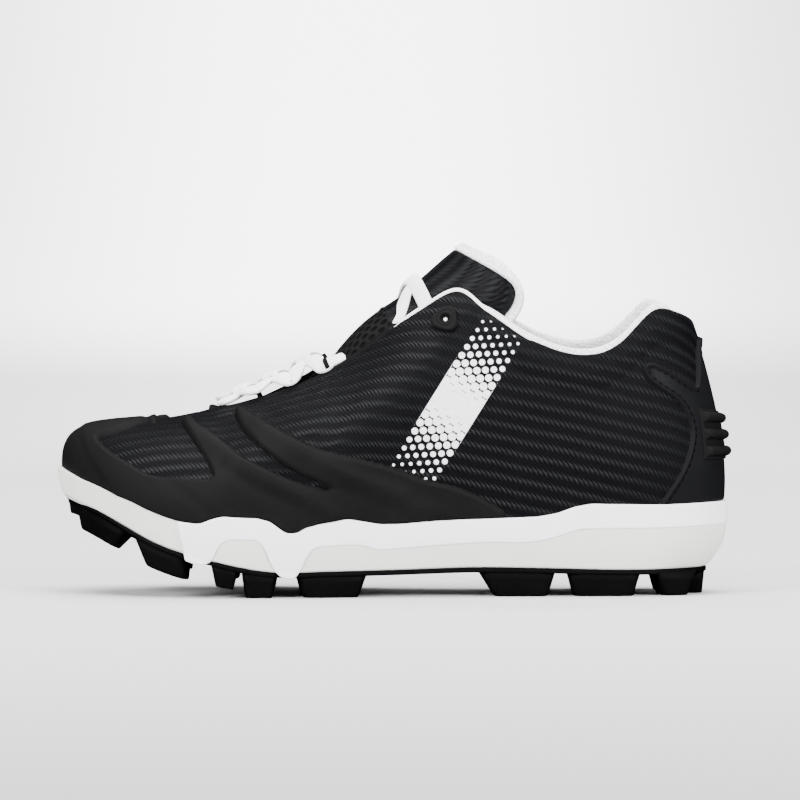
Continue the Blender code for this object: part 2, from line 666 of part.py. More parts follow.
def make_outsole(finish, parts):
    """The rubber plate with its moulded studs, one piece."""
    p = stations()
    inset = undercut(p) + PLATE_INSET

    def under(u):
        return under_z(u) - PLATE_THICKNESS

    def over(u):
        return under_z(u) - GAP

    rings = [sole_ring(p, inset, under), sole_ring(p, inset, over)]
    made = add_mesh("outsole", *sole_stack(rings, under, over), finish, parts)
    points, faces = [], []

    def add(body):
        start = len(points)
        points.extend(body[0])
        faces.extend([[i + start for i in face] for face in body[1]])

    for *shape, drop in STUDS:
        for side in (-1, 1):
            add(stud_body(*shape, side, drop))
    for u, y, length, width, drop in INNER_STUDS:
        add(centre_stud(u, y * BALL_WIDTH, length * STUD_WIDTH, width * STUD_WIDTH, drop))
    combine(made, add_cutter("studs", points, faces), "UNION")
    combine(made, side_frame_cutter(), "DIFFERENCE")
    return made


def make_insole(finish, parts):
    """The loose sock liner on the footbed, thinner towards the toe, its top edge rounded."""
    p = stations()[::2]
    inset = np.full(p.shape, FEATHER_INSET + UPPER_WALL + INSOLE_CLEARANCE)

    def bed(u):
        return footbed_z(u) + GAP

    def top(u):
        return bed(u) + INSOLE_THICKNESS * (1 - 0.35 * np.clip((u - 0.5) / 0.5, 0, 1))

    rings = [sole_ring(p, inset + GAP, bed), sole_ring(p, inset, top)]
    return add_mesh("insole", *sole_stack(rings, bed, top), finish, parts)


OUTER_ROWS = (-1.0, 0.0, 0.12, 0.25, 0.39, 0.53, 0.67, 0.80, 0.91, 1.0)
OVERLAY_ROWS = (-0.35, *OUTER_ROWS[1:-1])
INNER_ROWS = (1.0, 0.80, 0.58, 0.36, 0.16, 0.0, -1.0)


def make_upper(finish, parts):
    """The hollow upper: one wall, open at the collar and throat above and to the footbed below."""
    p = stations()
    f = np.where(p <= 1, p, 2 - p)
    rings = [upper_surface(p, np.full(p.shape, t)) for t in OUTER_ROWS]
    edge = np.full(p.shape, 1.0)
    outside = upper_surface(p, edge)
    inside = off_upper(p, edge, -upper_wall(p, edge))
    collar = np.clip((0.52 - f) / 0.06, 0, 1)
    roll = THROAT_ROLL + (COLLAR_ROLL - THROAT_ROLL) * collar
    for share in (0.2, 0.55, 0.85):
        lift = roll * math.sin(math.pi * min(share + 0.05, 1.0)) ** 0.7
        ring = outside + (inside - outside) * share
        ring[:, 2] += lift
        rings.append(ring)
    for t in INNER_ROWS:
        row = np.full(p.shape, t)
        rings.append(off_upper(p, row, -upper_wall(p, row)))
    made = add_mesh("upper", *ring_body(rings), finish, parts)
    for side in (-1, 1):
        place = EYELET_PLACE[0] if side < 0 else 2 - EYELET_PLACE[0]
        centre, axis = eyelet_frame(place)
        drill = eyelet_rings(centre, axis, [(EYELET_HOLE, -DRILL_REACH), (EYELET_HOLE, DRILL_REACH)], 12)
        points = np.concatenate(drill)
        faces = grid_faces(2, 12, closed_columns=True) + [list(range(12)), list(range(23, 11, -1))]
        combine(made, add_cutter(f"eyelet_drill_{'lateral' if side < 0 else 'medial'}", points, faces), "DIFFERENCE")
    return made


def eyelet_frame(place):
    at = (np.array(place), np.array(EYELET_PLACE[1]))
    return upper_surface(*at), upper_normal(*at)


def eyelet_rings(centre, axis, profile, count, lobes=0.0):
    """Rings round an axis: each profile entry is a radius and a height along the axis."""
    side = np.cross(axis, [0.0, 0.0, 1.0])
    side /= np.linalg.norm(side)
    up = np.cross(side, axis)
    angle = np.arange(count) * 2 * math.pi / count
    rings = []
    for radius, height in profile:
        r = radius * (1 + lobes * np.cos(3 * angle + 0.6)) if radius > EYELET_HOLE * 1.2 else radius
        circle = (np.cos(angle) * r)[:, None] * side + (np.sin(angle) * r)[:, None] * up
        rings.append(centre + circle + axis * height)
    return rings


def make_eyelets(finish, parts):
    """The two moulded reinforcements round the top lace holes."""
    low = GAP + 0.15 * MM
    profile = [
        (EYELET_HOLE, low), (EYELET_RADIUS, low), (EYELET_RADIUS * 0.92, low + EYELET_THICKNESS * 0.75),
        (EYELET_RADIUS * 0.72, low + EYELET_THICKNESS), (EYELET_HOLE * 1.35, low + EYELET_THICKNESS * 0.8),
        (EYELET_HOLE, low + EYELET_THICKNESS * 0.4),
    ]
    for side, name in ((-1, "eyelet_lateral"), (1, "eyelet_medial")):
        place = EYELET_PLACE[0] if side < 0 else 2 - EYELET_PLACE[0]
        centre, axis = eyelet_frame(place)
        add_mesh(name, *ring_body(eyelet_rings(centre, axis, profile, 15, 0.10)), finish, parts)


def overlay_patch(name, places, rows, low, high, finish, parts):
    """A layer over part of the upper, between two distances outside it."""
    p, t = np.meshgrid(np.asarray(places), np.asarray(rows))
    outer = off_upper(p, t, np.full(p.shape, high))
    inner = off_upper(p, t, np.full(p.shape, low))
    return add_mesh(name, *patch_body(outer, inner), finish, parts)


def below_top_edge(name):
    """Everything at and below the top edge of the sole's wall, seen from the side."""
    edge = [(HEEL_X - u * LENGTH, float(top_z(u)) + GAP) for u, _ in sorted(TOP_EDGE)]
    floor = [(edge[-1][0], 0.0), (edge[0][0], 0.0)]
    return add_cutter(name, *prism(edge + floor, -BALL_WIDTH, BALL_WIDTH))


def make_toe_guard(finish, parts):
    """The moulded rubber guard over the toe, its flames running back along both sides."""
    places = stations(STATIONS // 3, 2 * STATIONS - STATIONS // 3)
    made = overlay_patch("toe_guard", places, OVERLAY_ROWS, GAP, GAP + GUARD_THICKNESS, finish, parts)
    lateral = prism(side_outline(GUARD_WINDOWS, INSTEP_HEIGHT), -BALL_WIDTH, CREST_SHIFT + GAP)
    shifted = [
        (u + FINGER_SHIFT * min(max((FINGER_SHIFT_FRONT - u) / 0.12, 0.0), 1.0), share)
        for u, share in GUARD_WINDOWS
    ]
    medial = prism(side_outline(shifted, INSTEP_HEIGHT), CREST_SHIFT - GAP, BALL_WIDTH)
    combine(made, add_cutter("flames_lateral", *lateral), "DIFFERENCE")
    combine(made, add_cutter("flames_medial", *medial), "DIFFERENCE")
    combine(made, below_top_edge("guard_foot"), "DIFFERENCE")
    return made


def make_counter(finish, parts):
    """The heel counter overlay, with an ear on each side and a tab up the back."""
    places = stations(-(STATIONS // 3), STATIONS // 3)
    made = overlay_patch("heel_counter", places, OVERLAY_ROWS, GAP, GAP + COUNTER_THICKNESS, finish, parts)
    shape = add_cutter("counter_shape", *prism(side_outline(COUNTER, HEEL_HEIGHT), -BALL_WIDTH, BALL_WIDTH))
    combine(made, shape, "INTERSECT")
    combine(made, below_top_edge("counter_foot"), "DIFFERENCE")
    return made


def make_bumper(finish, parts):
    """The ribbed rubber block on the back of the heel: three ribs on a thin base."""
    places = np.linspace(-0.080, 0.080, 9)
    rows = np.linspace(0.222, 0.480, 13)
    p, t = np.meshgrid(places, rows)
    share = (t - rows[0]) / (rows[-1] - rows[0])
    rib = np.sin(math.pi * 3 * share) ** 2
    ends = np.clip((1 - np.abs(p) / 0.080) / 0.25, 0, 1) ** 0.5
    low = 2 * GAP + COUNTER_THICKNESS
    outer = off_upper(p, t, low + BUMPER_BASE + BUMPER_RIB * rib * ends)
    inner = off_upper(p, t, np.full(p.shape, low))
    return add_mesh("heel_bumper", *patch_body(outer, inner), finish, parts)


TONGUE_KNOTS = np.linspace(0, 1, len(TONGUE))


def spline(at, knots, values):
    """A Catmull-Rom curve through the values, its ends free."""
    k, v = np.asarray(knots, float), np.asarray(values, float)
    slope = np.gradient(v, k)
    i = np.clip(np.searchsorted(k, at, side="right") - 1, 0, len(k) - 2)
    step = k[i + 1] - k[i]
    t = (at - k[i]) / step
    return (
        (2 * t**3 - 3 * t**2 + 1) * v[i]
        + (t**3 - 2 * t**2 + t) * step * slope[i]
        + (3 * t**2 - 2 * t**3) * v[i + 1]
        + (t**3 - t**2) * step * slope[i + 1]
    )


def tongue_surface(v, w):
    """The tongue's outer face: v from the vamp to the top, w across from the lateral edge (-1)."""
    v, w = np.broadcast_arrays(np.asarray(v, float), np.asarray(w, float))
    x, z, half, behind, below = (spline(v, TONGUE_KNOTS, column) for column in rows_of(TONGUE))
    angle = w * TONGUE_BEND
    sag = (1 - np.cos(angle)) / (1 - math.cos(TONGUE_BEND))
    across = np.sin(angle) / math.sin(TONGUE_BEND)
    return np.stack(
        [
            HEEL_X - (x - behind * sag) * LENGTH,
            half * BALL_WIDTH * across,
            (z - below * sag) * INSTEP_HEIGHT,
        ],
        axis=-1,
    )


def tongue_place(u):
    """How far along the tongue its middle is at the share u of the length."""
    v = np.linspace(0, 1, 200)
    return float(np.interp(-u, -spline(v, TONGUE_KNOTS, rows_of(TONGUE)[0]), v))


def tongue_length(v):
    """The tongue's length along its middle for each unit of v, at v."""
    step = 0.01
    return float(np.linalg.norm(tongue_surface(v + step, 0.0) - tongue_surface(v - step, 0.0))) / (2 * step)


def throat_half(u):
    """Half the width of the throat's opening at the share u of the length."""
    f = np.linspace(0.505, 1.0, 200)
    c = section_columns(f)
    return float(np.interp(u, c["x"], c["y"] * BALL_WIDTH / 2))


def tongue_across(v, y):
    """The place w across the tongue, at v, that is y from its middle."""
    half = float(spline(np.array(v), TONGUE_KNOTS, rows_of(TONGUE)[2])) * BALL_WIDTH
    return math.asin(min(max(y / half, -1), 1) * math.sin(TONGUE_BEND)) / TONGUE_BEND


def tongue_normal(v, w):
    step = 0.01
    along = tongue_surface(np.minimum(v + step, 1), w) - tongue_surface(np.maximum(v - step, 0), w)
    across = tongue_surface(v, np.minimum(w + step, 1)) - tongue_surface(v, np.maximum(w - step, -1))
    n = np.cross(along, across)
    return n / np.linalg.norm(n, axis=-1, keepdims=True)


def off_tongue(v, w, distance):
    v, w = np.broadcast_arrays(np.asarray(v, float), np.asarray(w, float))
    distance = np.broadcast_to(np.asarray(distance, float), v.shape)
    return tongue_surface(v, w) + tongue_normal(v, w) * distance[..., None]


def make_tongue(finish, parts):
    """The padded tongue, thicker towards its top, its edges thinned."""
    v, w = np.meshgrid(np.linspace(0, 1, 17), np.linspace(-1, 1, 9), indexing="ij")
    padding = TONGUE_PADDING * np.clip((v - 0.5) / 0.3, 0, 1)
    thick = (TONGUE_THICKNESS + padding) * (1 - 0.55 * np.abs(w) ** 4)
    thick *= 1 - 0.35 * np.clip((v - 0.93) / 0.07, 0, 1)
    outer = tongue_surface(v, w)
    inner = off_tongue(v, w, -thick)
    return add_mesh("tongue", *patch_body(outer, inner), finish, parts)


def flat_cord(path, normals, width, thickness):
    """A flat cord along a path, its wide faces square to the normals."""
    tangent = np.gradient(path, axis=0)
    tangent /= np.linalg.norm(tangent, axis=1)[:, None]
    side = np.cross(tangent, normals)
    side /= np.linalg.norm(side, axis=1)[:, None]
    up = np.cross(side, tangent)
    section = [(1, -0.35), (0.8, 0.5), (-0.8, 0.5), (-1, -0.35), (0, -0.5)]
    width = np.broadcast_to(width, len(path))
    points = []
    for i, at in enumerate(path):
        points += [at + side[i] * a * width[i] / 2 + up[i] * b * thickness for a, b in section]
    n = len(section)
    faces = grid_faces(len(path), n, closed_columns=True)
    faces += [list(range(n)), list(range(len(points) - 1, len(points) - n - 1, -1))]
    return points, faces


def through(points, per_span=5):
    """A smooth open curve through a few points."""
    p = np.asarray(points, float)
    p = np.vstack([2 * p[0] - p[1], p, 2 * p[-1] - p[-2]])
    t = np.linspace(0, 1, per_span, endpoint=False)[:, None]
    spans = []
    for a, b, c, d in zip(p, p[1:], p[2:], p[3:]):
        spans.append(
            0.5 * (2 * b + (c - a) * t + (2 * a - 5 * b + 4 * c - d) * t**2 + (3 * b - a - 3 * c + d) * t**3)
        )
    return np.vstack([*spans, p[-2:-1]])


LACE_LIFT = 2 * GAP + LACE_THICKNESS / 2
LOOP_LIFT = 2 * GAP + LOOP_THICKNESS + LACE_CLEARANCE + LACE_THICKNESS / 2


def anchor(u, side):
    """A place on the tongue beside the throat's edge, far enough in for a loop to hold the lace."""
    v = tongue_place(u)
    return v, side * tongue_across(v, throat_half(u) - LOOP_ROOM - LACE_WIDTH / 2)


def lace_route(first_side):
    """Half of the lacing as rows of v, w and lift: from the middle of the front bar to the throat's
    edge on one side, across to the first loop on the other, and so on up the throat."""
    route = [(tongue_place(LACE_ROWS[0]) - 0.01, 0.0, LOOP_LIFT)]
    side = first_side
    for u, after in zip(LACE_ROWS, (*LACE_ROWS[1:], None)):
        v, w = anchor(u, side)
        straight = 0.5 * LOOP_WIDTH / tongue_length(v)
        if u == LACE_ROWS[0]:
            route.append((v, w, LOOP_LIFT))
        else:
            route += [(v - straight, w, LOOP_LIFT), (v + straight, w, LOOP_LIFT)]
        if after is None:
            route.append((v + 2 * straight, w, LOOP_LIFT))
        else:
            route.append(((v + tongue_place(after)) / 2, 0.0, LACE_LIFT))
        side = -side
    return route


def lace_cord(route, per_span):
    v, w, lift = through(route, per_span).T
    path = off_tongue(v, w, lift)
    return flat_cord(path, tongue_normal(v, w), LACE_WIDTH, LACE_THICKNESS)


def make_laces(finish, parts):
    """The lacing: two halves that cross up the throat from a front bar, and the crossing at the top."""
    made = add_mesh("laces", *lace_cord(lace_route(-1), 3), finish, parts)
    combine(made, add_cutter("lace_other_half", *lace_cord(lace_route(1), 3)), "UNION")
    halves = []
    for side in (-1, 1):
        low, high = anchor(TOP_ROWS[0], side), anchor(TOP_ROWS[1], -side)
        middle = ((low[0] + high[0]) / 2, 0.0)
        halves.append([(*place, LACE_LIFT) for place in (low, middle, high)])
    top = add_mesh("lace_top", *lace_cord(halves[0], 5), finish, parts)
    combine(top, add_cutter("lace_top_other", *lace_cord(halves[1], 5)), "UNION")


def make_loops(finish, parts):
    """A folded strip of webbing at each turn: below the lace, round its inner side and back over it."""
    inner = 2 * GAP
    outer = inner + LOOP_THICKNESS + 2 * LACE_CLEARANCE + LACE_THICKNESS
    for index, u in enumerate(LACE_ROWS[1:]):
        v = tongue_place(u)
        reach = throat_half(u) - LOOP_ROOM
        tip = reach - 1.42 * LACE_WIDTH
        profile = [
            (reach, inner), (tip, inner), (tip - LOOP_THICKNESS, (inner + outer) / 2),
            (tip, outer + LOOP_THICKNESS), (reach, outer + LOOP_THICKNESS), (reach, outer),
            (tip + GAP, outer), (tip, (inner + outer) / 2 + GAP), (tip + GAP, inner + LOOP_THICKNESS),
            (reach, inner + LOOP_THICKNESS),
        ]
        for side, name in ((-1, "lateral"), (1, "medial")):
            ends = []
            for edge in (-0.5, 0.5):
                at = v + edge * LOOP_WIDTH / tongue_length(v)
                ends.append([off_tongue(at, side * tongue_across(v, y), lift) for y, lift in profile])
            count = len(profile)
            faces = grid_faces(2, count, closed_columns=True)
            faces += [list(range(count)), list(range(2 * count - 1, count - 1, -1))]
            add_mesh(f"lace_loop_{name}_{index + 1}", np.concatenate(ends), faces, finish, parts)


def main():
    for old in list(bpy.data.objects):
        bpy.data.objects.remove(old)
    parts = bpy.data.collections.new("baseball_cleat")
    cutters = bpy.data.collections.new("cutters")
    for made in (parts, cutters):
        bpy.context.scene.collection.children.link(made)
    weave = material("black woven-look synthetic", (0.018, 0.019, 0.022), 0.38)
    rubber = material("black moulded rubber", (0.022, 0.022, 0.025), 0.62)
    foam = material("off-white foam", (0.80, 0.81, 0.77), 0.55)
    frame = material("white moulded frame", (0.88, 0.88, 0.91), 0.45)
    fabric = material("white terry lining", (0.86, 0.86, 0.86), 0.95)
    lace = material("white lace", (0.88, 0.88, 0.88), 0.85)
    make_side_frame(frame, parts)
    make_midsole(foam, parts)
    make_outsole(rubber, parts)
    make_insole(fabric, parts)
    make_upper(weave, parts)
    make_toe_guard(rubber, parts)
    make_counter(weave, parts)
    make_bumper(rubber, parts)
    make_eyelets(rubber, parts)
    make_tongue(weave, parts)
    make_laces(lace, parts)
    make_loops(weave, parts)


main()
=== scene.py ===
"""The looks of a low-cut moulded baseball cleat for the left foot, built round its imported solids.

Frame: metres, +Z up, the ground at z = 0, the toe towards -X, the outer (lateral) side towards -Y.
The shoe's forms are surfaces of two parameters. p runs round the sole's edge (0 and 2 at the back of
the heel, 0 to 1 along the lateral side, 1 at the toe) and t runs up the upper from the sole's top
edge (0) to the opening (1). v and w run along and across the tongue. Tables hold shares of the named
sizes, and u is the share of the length from the back of the heel.
"""

import math

import bmesh
import bpy
import numpy as np
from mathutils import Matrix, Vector


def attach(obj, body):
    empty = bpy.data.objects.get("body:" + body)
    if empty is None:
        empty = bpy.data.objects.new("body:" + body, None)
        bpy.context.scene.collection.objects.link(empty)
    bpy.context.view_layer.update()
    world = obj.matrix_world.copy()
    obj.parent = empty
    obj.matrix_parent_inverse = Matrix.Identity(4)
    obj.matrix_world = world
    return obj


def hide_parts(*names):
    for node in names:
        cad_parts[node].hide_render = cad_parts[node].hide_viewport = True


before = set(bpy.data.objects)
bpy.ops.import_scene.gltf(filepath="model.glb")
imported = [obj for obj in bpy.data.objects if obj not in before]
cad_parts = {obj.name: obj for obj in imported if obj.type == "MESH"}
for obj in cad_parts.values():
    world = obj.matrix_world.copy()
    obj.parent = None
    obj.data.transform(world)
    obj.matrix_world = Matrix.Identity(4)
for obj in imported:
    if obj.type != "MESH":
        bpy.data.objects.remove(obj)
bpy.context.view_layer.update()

MM = 0.001

# Driving sizes
LENGTH = 268.4 * MM
BALL_WIDTH = 95.0 * MM
HEEL_HEIGHT = 113.6 * MM
INSTEP_HEIGHT = 121.5 * MM
STUD_HEIGHT = 8.8 * MM
PLATE_THICKNESS = 2.0 * MM
PLATE_INSET = 0.6 * MM
SIDE_HEIGHT = 26.0 * MM
TOE_SPRING = 28.2 * MM
HEEL_UNDERCUT = 8.0 * MM
SIDE_UNDERCUT = 2.5 * MM
RIM_THICKNESS = 2.0 * MM
RIM_STEP = 0.7 * MM
UPPER_WALL = 1.8 * MM
COLLAR_PADDING = 3.4 * MM
COLLAR_ROLL = 2.4 * MM
THROAT_ROLL = 0.4 * MM
MEDIAL_RISE = 2.0 * MM
GUARD_THICKNESS = 1.0 * MM
COUNTER_THICKNESS = 0.8 * MM
BUMPER_BASE = 0.7 * MM
BUMPER_RIB = 1.9 * MM
INSOLE_THICKNESS = 4.0 * MM
TONGUE_THICKNESS = 3.6 * MM
TONGUE_PADDING = 2.6 * MM
INSOLE_CLEARANCE = 1.0 * MM
LACE_WIDTH = 5.0 * MM
LACE_THICKNESS = 1.5 * MM
LACE_CLEARANCE = 0.5 * MM
LOOP_THICKNESS = 0.7 * MM
LOOP_ROOM = 2.2 * MM
LOOP_WIDTH = 4.0 * MM
EYELET_RADIUS = 5.2 * MM
EYELET_HOLE = 1.9 * MM
EYELET_THICKNESS = 1.3 * MM
STUD_WIDTH = 14.0 * MM
STUD_DRAFT = 1.2 * MM
FRAME_SLANT = 2.6 * MM
GAP = 0.3 * MM

# Where the sole lies along X: the heel bumper's last rib stands a little behind the sole. Then the
# share of the length over which the heel's wall leans in, the sloping share of the wall's height, how
# places crowd at the heel and the toe, and the offsets over which a table's corners are averaged
HEEL_X = LENGTH / 2 - 0.8 * MM
BASE_Z = STUD_HEIGHT + PLATE_THICKNESS
FEATHER_INSET = RIM_THICKNESS + GAP
UNDERCUT_REACH, WALL_SLOPE_SHARE = 0.16, 0.62
STATION_CROWDING = 0.35
CORNER_ROUNDING = np.linspace(-0.0045, 0.0045, 7)

# The sole's outline from above: u, share of the ball width (lateral side negative)
LATERAL_EDGE = [
    (0.012, -0.130), (0.045, -0.250), (0.100, -0.325), (0.180, -0.362), (0.280, -0.372),
    (0.380, -0.385), (0.480, -0.415), (0.580, -0.462), (0.680, -0.497), (0.760, -0.504),
    (0.830, -0.470), (0.895, -0.390), (0.945, -0.270), (0.980, -0.125),
]
MEDIAL_EDGE = [
    (0.012, 0.130), (0.045, 0.250), (0.100, 0.325), (0.180, 0.345), (0.300, 0.315),
    (0.400, 0.300), (0.480, 0.325), (0.580, 0.396), (0.670, 0.468), (0.750, 0.496),
    (0.830, 0.484), (0.900, 0.425), (0.950, 0.345), (0.985, 0.220),
]
TOE_TIP = (1.0, 0.055)

# The midsole's underside: u, share of the toe spring above the level of the heel
SPRING = [
    (0.0, 0.0), (0.17, -0.01), (0.276, 0.014), (0.374, 0.028), (0.49, 0.0), (0.60, -0.02),
    (0.672, -0.025), (0.764, 0.131), (0.803, 0.223), (0.858, 0.404), (0.898, 0.596),
    (0.9475, 0.83), (0.99, 0.972), (1.0, 1.0),
]
# The footbed: u, share of the side height above the underside
FOOTBED = [(0.0, 0.48), (0.30, 0.45), (0.50, 0.40), (0.65, 0.33), (0.80, 0.26), (0.90, 0.21), (1.0, 0.20)]
# The top edge of the side wall, with its waves: u, share of the side height above the underside
TOP_EDGE = [
    (-0.10, 1.008), (0.0, 1.008), (0.099, 0.99), (0.158, 1.0), (0.208, 1.0), (0.232, 0.95),
    (0.259, 0.842), (0.287, 0.785), (0.322, 0.762), (0.373, 0.738), (0.431, 0.73), (0.49, 0.70),
    (0.518, 0.704), (0.545, 0.758), (0.565, 0.796), (0.604, 0.731), (0.627, 0.677), (0.640, 0.602),
    (0.655, 0.604), (0.666, 0.677), (0.678, 0.765), (0.698, 0.796), (0.721, 0.76), (0.748, 0.72),
    (0.764, 0.642), (0.782, 0.527), (0.811, 0.48), (0.83, 0.477), (0.877, 0.477), (0.918, 0.42),
    (0.961, 0.396), (1.0, 0.446), (1.10, 0.446),
]
# The lower edge of the side frame, with its two claws: u, share of the side height
PARTING = [
    (0.803, -0.10), (0.785, -0.11), (0.769, -0.04), (0.764, 0.02), (0.754, 0.265), (0.738, 0.396),
    (0.698, 0.458), (0.688, 0.388), (0.674, 0.05), (0.664, -0.05), (0.658, -0.09), (0.643, -0.09),
    (0.635, -0.01), (0.624, 0.27), (0.614, 0.373), (0.565, 0.40), (0.549, 0.396), (0.518, 0.308),
    (0.49, 0.323), (0.45, 0.342), (0.373, 0.377), (0.313, 0.38), (0.283, 0.408), (0.256, 0.496),
    (0.225, 0.608), (0.178, 0.627), (0.099, 0.635), (0.03, 0.65), (-0.10, 0.65),
]
FRAME_FRONT = 0.803

# The upper's sections. f: place on the sole's edge. x, y, z: the opening's edge there, as shares of
# the length (from the heel), half the ball width and the heel or instep height. rise and lean set
# how the section leaves the sole, shoulder and roof how it reaches the opening (shares of the
# instep height, and degrees).
COLUMNS = ("f", "x", "y", "z_heel", "z_instep", "rise", "lean", "shoulder", "roof")
SECTIONS = [
    (0.000, 0.052, 0.00, 0.953, 0.0, 0.20, 6, 0.17, 79),
    (0.070, 0.069, 0.24, 0.976, 0.0, 0.20, 7, 0.17, 79),
    (0.140, 0.115, 0.43, 0.990, 0.0, 0.21, 10, 0.18, 78),
    (0.200, 0.166, 0.555, 0.876, 0.0, 0.20, 10, 0.17, 80),
    (0.280, 0.221, 0.64, 0.836, 0.0, 0.17, 9, 0.16, 80),
    (0.365, 0.292, 0.635, 0.0, 0.826, 0.19, 8, 0.19, 76),
    (0.450, 0.362, 0.565, 0.0, 0.928, 0.22, 7, 0.25, 66),
    (0.505, 0.410, 0.505, 0.0, 0.992, 0.22, 7, 0.29, 58),
    (0.545, 0.462, 0.465, 0.0, 0.929, 0.21, 8, 0.28, 50),
    (0.620, 0.560, 0.385, 0.0, 0.772, 0.19, 10, 0.24, 38),
    (0.685, 0.636, 0.315, 0.0, 0.686, 0.175, 11, 0.21, 30),
    (0.745, 0.696, 0.250, 0.0, 0.641, 0.17, 11, 0.20, 25),
    (0.800, 0.736, 0.195, 0.0, 0.617, 0.17, 10, 0.22, 20),
    (0.880, 0.759, 0.115, 0.0, 0.611, 0.185, 7, 0.27, 18),
    (1.000, 0.765, 0.00, 0.0, 0.612, 0.212, 4, 0.33, 17),
]

# The tongue's rows from the vamp to the top: x, z of its middle, half width, and how far its edge
# lies behind and below the middle, as shares of length, instep height, ball width, length, instep
TONGUE = [
    (0.805, 0.545, 0.130, 0.002, 0.035),
    (0.755, 0.597, 0.170, 0.006, 0.060),
    (0.708, 0.635, 0.215, 0.012, 0.100),
    (0.650, 0.696, 0.245, 0.020, 0.132),
    (0.590, 0.777, 0.262, 0.030, 0.170),
    (0.530, 0.888, 0.275, 0.046, 0.202),
    (0.470, 1.006, 0.262, 0.078, 0.205),
    (0.430, 1.082, 0.252, 0.106, 0.190),
    (0.408, 1.126, 0.250, 0.100, 0.130),
    (0.400, 1.146, 0.200, 0.066, 0.062),
]
TONGUE_BEND = math.radians(72)

# The edge studs, each made on the lateral and the medial side: u where it starts and ends at the
# plate, the same at its foot, its width as a share of the stud width, and its drop: 0 for a foot on
# the ground, else how far the foot hangs below the plate as a share of the stud height
STUDS = [
    (0.037, 0.107, 0.052, 0.094, 1.0, 0.0),
    (0.131, 0.244, 0.142, 0.234, 1.0, 0.0),
    (0.260, 0.373, 0.271, 0.350, 1.0, 0.0),
    (0.533, 0.637, 0.546, 0.628, 1.0, 0.0),
    (0.668, 0.720, 0.674, 0.714, 1.0, 0.0),
    (0.724, 0.768, 0.733, 0.761, 1.0, 0.85),
    (0.806, 0.890, 0.810, 0.872, 1.0, 0.92),
    (0.903, 0.988, 0.926, 0.982, 0.6, 0.92),
]

# The studs inside the plate: u and y (share of the ball width) of the middle, length and width as
# shares of the stud width, and the drop as above
INNER_STUDS = [
    (0.052, 0.00, 0.64, 1.20, 0.0), (0.590, -0.01, 1.07, 0.93, 0.0),
    (0.700, 0.00, 1.07, 1.07, 0.0), (0.974, 0.07, 0.44, 0.80, 0.45),
]

# Overlay outlines seen from the side: u, share of the instep height (guard) or heel height (counter)
GUARD_WINDOWS = [
    (0.858, 0.75), (0.850, 0.578), (0.868, 0.566), (0.892, 0.545), (0.912, 0.528), (0.930, 0.517),
    (0.936, 0.508), (0.928, 0.489), (0.912, 0.462), (0.882, 0.426), (0.858, 0.397), (0.832, 0.388),
    (0.800, 0.384), (0.772, 0.382), (0.762, 0.388), (0.763, 0.415), (0.775, 0.458), (0.790, 0.502),
    (0.803, 0.538), (0.810, 0.560), (0.808, 0.572), (0.796, 0.568), (0.786, 0.548), (0.762, 0.520),
    (0.738, 0.485), (0.718, 0.452), (0.695, 0.427), (0.660, 0.392), (0.628, 0.367), (0.604, 0.350),
    (0.592, 0.347), (0.594, 0.361), (0.620, 0.388), (0.648, 0.418), (0.678, 0.462), (0.706, 0.513),
    (0.722, 0.549), (0.730, 0.580), (0.731, 0.596), (0.724, 0.601), (0.710, 0.590), (0.678, 0.551),
    (0.648, 0.517), (0.612, 0.482), (0.578, 0.460), (0.522, 0.434), (0.486, 0.408), (0.447, 0.376),
    (0.408, 0.356), (0.370, 0.320), (0.338, 0.277), (0.310, 0.238), (0.060, 0.20), (0.060, 1.30),
    (0.858, 1.30),
]
# On the medial side the fingers lie further towards the toe
FINGER_SHIFT = 0.045
FINGER_SHIFT_FRONT = 0.94
COUNTER = [
    (0.108, 0.20), (0.108, 0.312), (0.098, 0.352), (0.078, 0.424), (0.066, 0.492), (0.061, 0.560),
    (0.066, 0.618), (0.080, 0.674), (0.104, 0.714), (0.122, 0.746), (0.131, 0.782), (0.129, 0.803),
    (0.118, 0.810), (0.098, 0.790), (0.072, 0.752), (0.055, 0.726), (0.0515, 0.740), (0.050, 0.800),
    (0.050, 0.860), (0.048, 0.896), (0.036, 0.908), (-0.05, 0.905), (-0.05, 0.20),
]

# Where the laces turn: at the front bar and then at the webbing loops. Then where the top crossing
# leaves the throat's edges.
LACE_ROWS = (0.742, 0.698, 0.648, 0.598)
TOP_ROWS = (0.508, 0.438)
EYELET_PLACE = (0.515, 0.885)

# Sizes that only the looks have
WELD = 0.004 * MM
SKIN = 1.0 * MM
HEIGHT_BELOW = -0.4 * MM
FOOT_ROUNDING = 1.1 * MM
COLLAR_ZONE = 14.0 * MM
PIPING_RADIUS, PIPING_START, PIPING_STOP = 0.95 * MM, 0.573, 0.36
BINDING_RADIUS, BINDING_START = 0.8 * MM, 0.575
STITCH_LENGTH, STITCH_GAP, STITCH_RADIUS = 1.9 * MM, 0.9 * MM, 0.28 * MM
COUNTER_CORD = 1.35 * MM
COUNTER_TOP = GAP + COUNTER_THICKNESS * 0.7
BUMPER_HALF, BUMPER_TALL = 21.0 * MM, 20.6 * MM
BUMPER_P, BUMPER_LOW, BUMPER_HIGH = 0.080, 0.222, 0.480
FLEECE_WIDTH, FLEECE_LIFT, FLEECE_BEYOND = 3.6 * MM, 0.7 * MM, 1.4 * MM
FACE_INSET, BORDER_SOFTNESS = 2.1 * MM, 1.6 * MM
FACING_X = HEEL_X - 0.508 * LENGTH
LACE_SHOWN, LACE_SWELL, LOOP_SHOWN = 6.2 * MM, 2.9 * MM, 1.9 * MM
LACE_LIFT = 2 * GAP + LACE_THICKNESS / 2
LOOP_LIFT = LACE_LIFT + LOOP_THICKNESS + LACE_CLEARANCE
